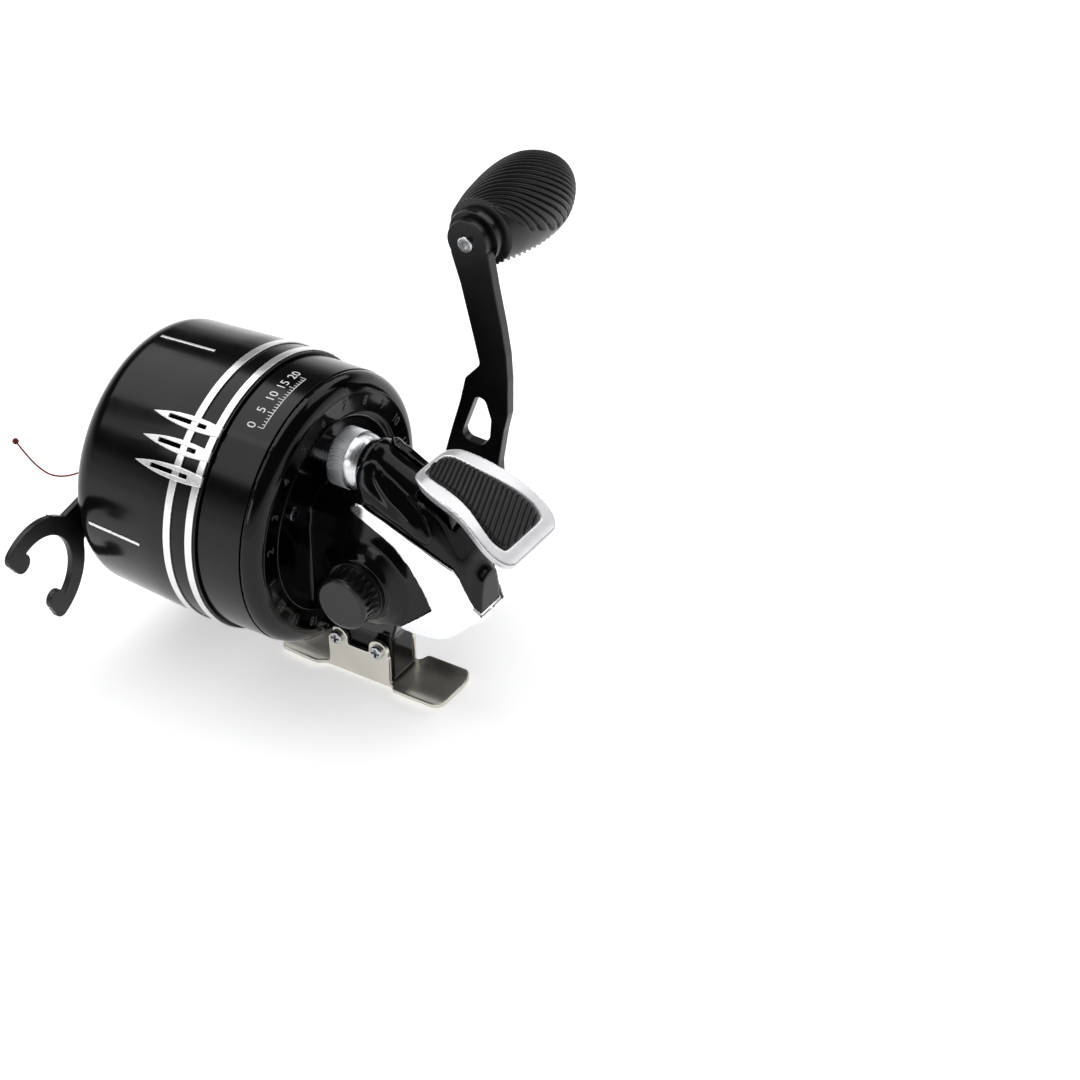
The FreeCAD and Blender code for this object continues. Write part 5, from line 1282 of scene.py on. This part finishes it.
@dataclass
class CollarTicks:
    """White printed scale on the collar: ticks, every fifth one longer and numbered."""

    wardrobe: Wardrobe
    ticks: int = 21
    every: int = 5
    pitch: float = 1.5
    middle: float = 104.0
    radius: float = 37.4
    base: float = -11.2
    short: float = 0.9
    long: float = 1.7
    width: float = 0.2
    gap: float = 0.7
    ink: float = 0.03
    figure: float = 3.6

    def build(self) -> None:
        """Lay each tick and number as a thin curved patch and join them with their base line."""
        parts = []
        for i in range(self.ticks):
            turn = self.middle - self.pitch * (i - (self.ticks - 1) / 2)
            numbered = i % self.every == 0
            reach = self.long if numbered else self.short
            parts.append(self.patch(turn, self.base, self.base + reach, self.width, 2))
            if numbered:
                parts.append(self.number(i, turn))
        arc = self.pitch * (self.ticks - 1) / 180 * math.pi * self.radius
        parts.append(self.patch(self.middle, self.base - self.width, self.base, arc, 60))
        piece = join(parts, "collar_ticks")
        settle(piece, PRINT_WHITE, self.wardrobe, "frame", [])

    def number(self, value: int, turn: float) -> bpy.types.Object:
        """Wrap one printed number on the collar, its head towards the drum.

        Args:
            value: The number.
            turn: Its middle's angle in degrees.

        Returns:
            The number with the ink's thickness.
        """
        piece = raise_figure(value, {
            "align_x": "CENTER", "size": self.figure * MM, "extrude": self.ink * MM / 2, "resolution_u": 3})
        foot = self.base + self.long + self.gap
        with editing(piece) as mesh:
            for vert in mesh.verts:
                angle = math.radians(turn) - vert.co.x / (self.radius * MM)
                reach = self.radius + self.ink / 2 + vert.co.z / MM
                vert.co = place(reach * math.cos(angle), foot + vert.co.y / MM, reach * math.sin(angle))
        return piece

    def patch(self, turn: float, rear: float, front: float, width: float, steps: int) -> bpy.types.Object:
        """Wrap a thin rectangle of ink on the collar.

        Args:
            turn: Its middle's angle in degrees.
            rear: Its rear station.
            front: Its front station.
            width: Its length round the collar in millimetres.
            steps: Number of cells round the collar.

        Returns:
            The patch with its thickness.
        """
        clear_selection()
        bpy.ops.mesh.primitive_grid_add(x_subdivisions=steps, y_subdivisions=1, size=2.0)
        piece = bpy.context.object
        half = width / self.radius / 2
        with editing(piece) as mesh:
            for vert in mesh.verts:
                angle = math.radians(turn) + half * vert.co.x
                y = rear + (front - rear) * (vert.co.y + 1) / 2
                vert.co = place(self.radius * math.cos(angle), y, self.radius * math.sin(angle))
            bpy.ops.mesh.select_all(action="SELECT")
            bpy.ops.mesh.extrude_region_shrink_fatten(TRANSFORM_OT_shrink_fatten={"value": self.ink * MM})
            face_outwards()
        return piece


# Line


@dataclass
class FreeLine:
    """The line's free end, limp, from the nose's eyelet to its knot."""

    wardrobe: Wardrobe
    diameter: float = 0.5
    length: float = 46.7
    route: Tuple[Point, ...] = (
        (0.0, 45.6, 0.0), (0.0, 49.4, -0.4), (-1.8, 54.2, -5.0), (-4.6, 60.0, -11.3), (-7.6, 66.2, -15.0),
        (-9.7, 71.2, -15.4), (-12.0, 73.8, -11.8), (-13.9, 75.6, -7.4), (-15.2, 77.0, -3.6))

    def build(self) -> None:
        curve = bpy.data.curves.new("line_end_braid", "CURVE")
        curve.dimensions = "3D"
        spline = curve.splines.new("NURBS")
        spline.points.add(len(self.route) - 1)
        for point, spot in zip(spline.points, self.route):
            point.co = (*place(*spot), 1.0)
        spline.order_u = 3
        spline.use_endpoint_u = True
        curve.resolution_u = 12
        curve.bevel_depth = self.diameter / 2 * MM
        curve.bevel_resolution = 3
        curve.use_fill_caps = True
        line = bpy.data.objects.new("line_end_braid", curve)
        bpy.context.scene.collection.objects.link(line)
        curve.materials.append(self.wardrobe.material(RED_BRAID))
        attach(line, "frame")
        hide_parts("line_end")
        LOG.info("laid %s", line.name)


# Studio


@dataclass(frozen=True)
class Softbox:
    """Square softbox that faces the drum.

    Attributes:
        name: The lamp's name.
        spot: Where it hangs, in millimetres from the drum's axis.
        side: Its side in metres.
        power: Its power in watts.
    """

    name: str
    spot: Point
    side: float
    power: float

    def hang(self) -> None:
        """Hang the lamp in its place."""
        data = bpy.data.lights.new(self.name, "AREA")
        data.shape = "SQUARE"
        data.size = self.side
        data.energy = self.power
        lamp = bpy.data.objects.new(self.name, data)
        bpy.context.scene.collection.objects.link(lamp)
        lamp.location = place(*self.spot)
        lamp.rotation_euler = (place(0, 0, 0) - lamp.location).to_track_quat("-Z", "Y").to_euler()


@dataclass
class Studio:
    """Pale floor, soft lamps, white background and the camera at the photograph's viewing angle."""

    lamps: Tuple[Softbox, ...] = (
        Softbox("overhead_softbox", (80.0, 560.0, 1150.0), 1.1, 7.5),
        Softbox("right_softbox", (950.0, -180.0, 950.0), 1.1, 5.2),
        Softbox("left_softbox", (-690.0, 528.0, 828.0), 0.6, 1.9),
        Softbox("left_strip", (-1300.0, 250.0, 420.0), 0.4, 1.2))
    camera_spot: Point = (-516.83, -412.04, 444.69)
    camera_right: Point = (0.5326, -0.8463, -0.0090)
    camera_up: Point = (0.4908, 0.3002, 0.8179)
    lens: float = 100.0
    floor_half: float = 3.0
    floor_gap: float = 0.1
    glow: float = 0.46
    ambient: float = 0.38
    ceiling: float = 0.06
    horizon: Pair = (0.0, 0.35)

    def build(self) -> None:
        """Build the whole studio."""
        self.floor()
        self.world()
        for lamp in self.lamps:
            lamp.hang()
        self.camera()

    def floor(self) -> None:
        """Lay a pale floor that camera and reflections see as white, with the object's shadow on it."""
        clear_selection()
        bpy.ops.mesh.primitive_plane_add(size=2 * self.floor_half, location=(0.0, 0.0, -self.floor_gap * MM))
        ground = bpy.context.object
        ground.name = "studio_floor"
        material = bpy.data.materials.new("white_paper_floor")
        material.use_nodes = True
        tree = material.node_tree
        tree.nodes.clear()
        shown = self.shown(tree)
        paper = add(tree, "ShaderNodeBsdfDiffuse", {}, {"Color": shade("f4f4f4")})
        glow = add(tree, "ShaderNodeEmission", {}, {"Color": shade("ffffff"), "Strength": self.glow})
        lit = add(tree, "ShaderNodeAddShader", {}, {0: paper.outputs[0], 1: glow.outputs[0]})
        mixed = add(tree, "ShaderNodeMixShader", {}, {0: shown, 1: paper.outputs[0], 2: lit.outputs[0]})
        add(tree, "ShaderNodeOutputMaterial", {}, {"Surface": mixed.outputs[0]})
        ground.data.materials.append(material)

    def shown(self, tree: bpy.types.NodeTree) -> bpy.types.NodeSocket:
        """Give 1 for the rays of camera, gloss and glass, and 0 for the rest."""
        path = add(tree, "ShaderNodeLightPath", {}, {})
        first = add(tree, "ShaderNodeMath", {"operation": "MAXIMUM"}, {
            0: path.outputs["Is Camera Ray"], 1: path.outputs["Is Glossy Ray"]})
        second = add(tree, "ShaderNodeMath", {"operation": "MAXIMUM"}, {
            0: first.outputs[0], 1: path.outputs["Is Transmission Ray"]})
        return second.outputs[0]

    def world(self) -> None:
        """Light softly from all round.

        The camera sees white behind the object, and gloss mirrors white low down and dark overhead.
        """
        world = bpy.data.worlds.new("studio_surround")
        bpy.context.scene.world = world
        world.use_nodes = True
        tree = world.node_tree
        tree.nodes.clear()
        way = add(tree, "ShaderNodeTexCoord", {}, {})
        height = add(tree, "ShaderNodeSeparateXYZ", {}, {"Vector": way.outputs["Generated"]})
        fall = add(tree, "ShaderNodeMapRange", {"interpolation_type": "SMOOTHSTEP"}, {
            "Value": height.outputs["Z"], "From Min": self.horizon[0], "From Max": self.horizon[1],
            "To Min": 1.0, "To Max": self.ceiling})
        path = add(tree, "ShaderNodeLightPath", {}, {})
        soft = add(tree, "ShaderNodeBackground", {}, {"Color": shade("f6f7f9"), "Strength": self.ambient})
        gloss = add(tree, "ShaderNodeBackground", {}, {
            "Color": shade("ffffff"), "Strength": fall.outputs["Result"]})
        white = add(tree, "ShaderNodeBackground", {}, {"Color": shade("ffffff"), "Strength": 1.0})
        seen = add(tree, "ShaderNodeMixShader", {}, {
            0: self.shown(tree), 1: soft.outputs[0], 2: gloss.outputs[0]})
        mixed = add(tree, "ShaderNodeMixShader", {}, {
            0: path.outputs["Is Camera Ray"], 1: seen.outputs[0], 2: white.outputs[0]})
        add(tree, "ShaderNodeOutputWorld", {}, {"Surface": mixed.outputs[0]})

    def camera(self) -> None:
        """Set the camera where the photograph was taken from."""
        data = bpy.data.cameras.new("photo_camera")
        data.lens = self.lens
        data.sensor_width = 36.0
        data.clip_start = 0.01
        camera = bpy.data.objects.new("photo_camera", data)
        bpy.context.scene.collection.objects.link(camera)
        right, up = Vector(self.camera_right).normalized(), Vector(self.camera_up)
        back = right.cross(up).normalized()
        turn = Matrix((right, back.cross(right), back)).transposed()
        camera.matrix_world = Matrix.Translation(place(*self.camera_spot)) @ turn.to_4x4()
        bpy.context.scene.camera = camera


def main() -> None:
    """Dress the solids, build the detailed pieces and set up the studio."""
    logging.basicConfig(level=logging.INFO, format="%(name)s: %(message)s")
    bpy.context.scene.view_settings.view_transform = "Standard"
    wardrobe = Wardrobe()
    wardrobe.dress()
    for part in SOFTENED + TUMBLED:
        part.build(wardrobe)
    KnobGrip(wardrobe).build()
    PedalPad(wardrobe).build()
    DragWheel(wardrobe).build()
    FlankPanels(wardrobe).build()
    ReturnSpring(wardrobe).build()
    RingBeads(wardrobe).build()
    RingNumbers(wardrobe).build()
    CollarTicks(wardrobe).build()
    FreeLine(wardrobe).build()
    Studio().build()


if __name__ == "__main__":
    main()
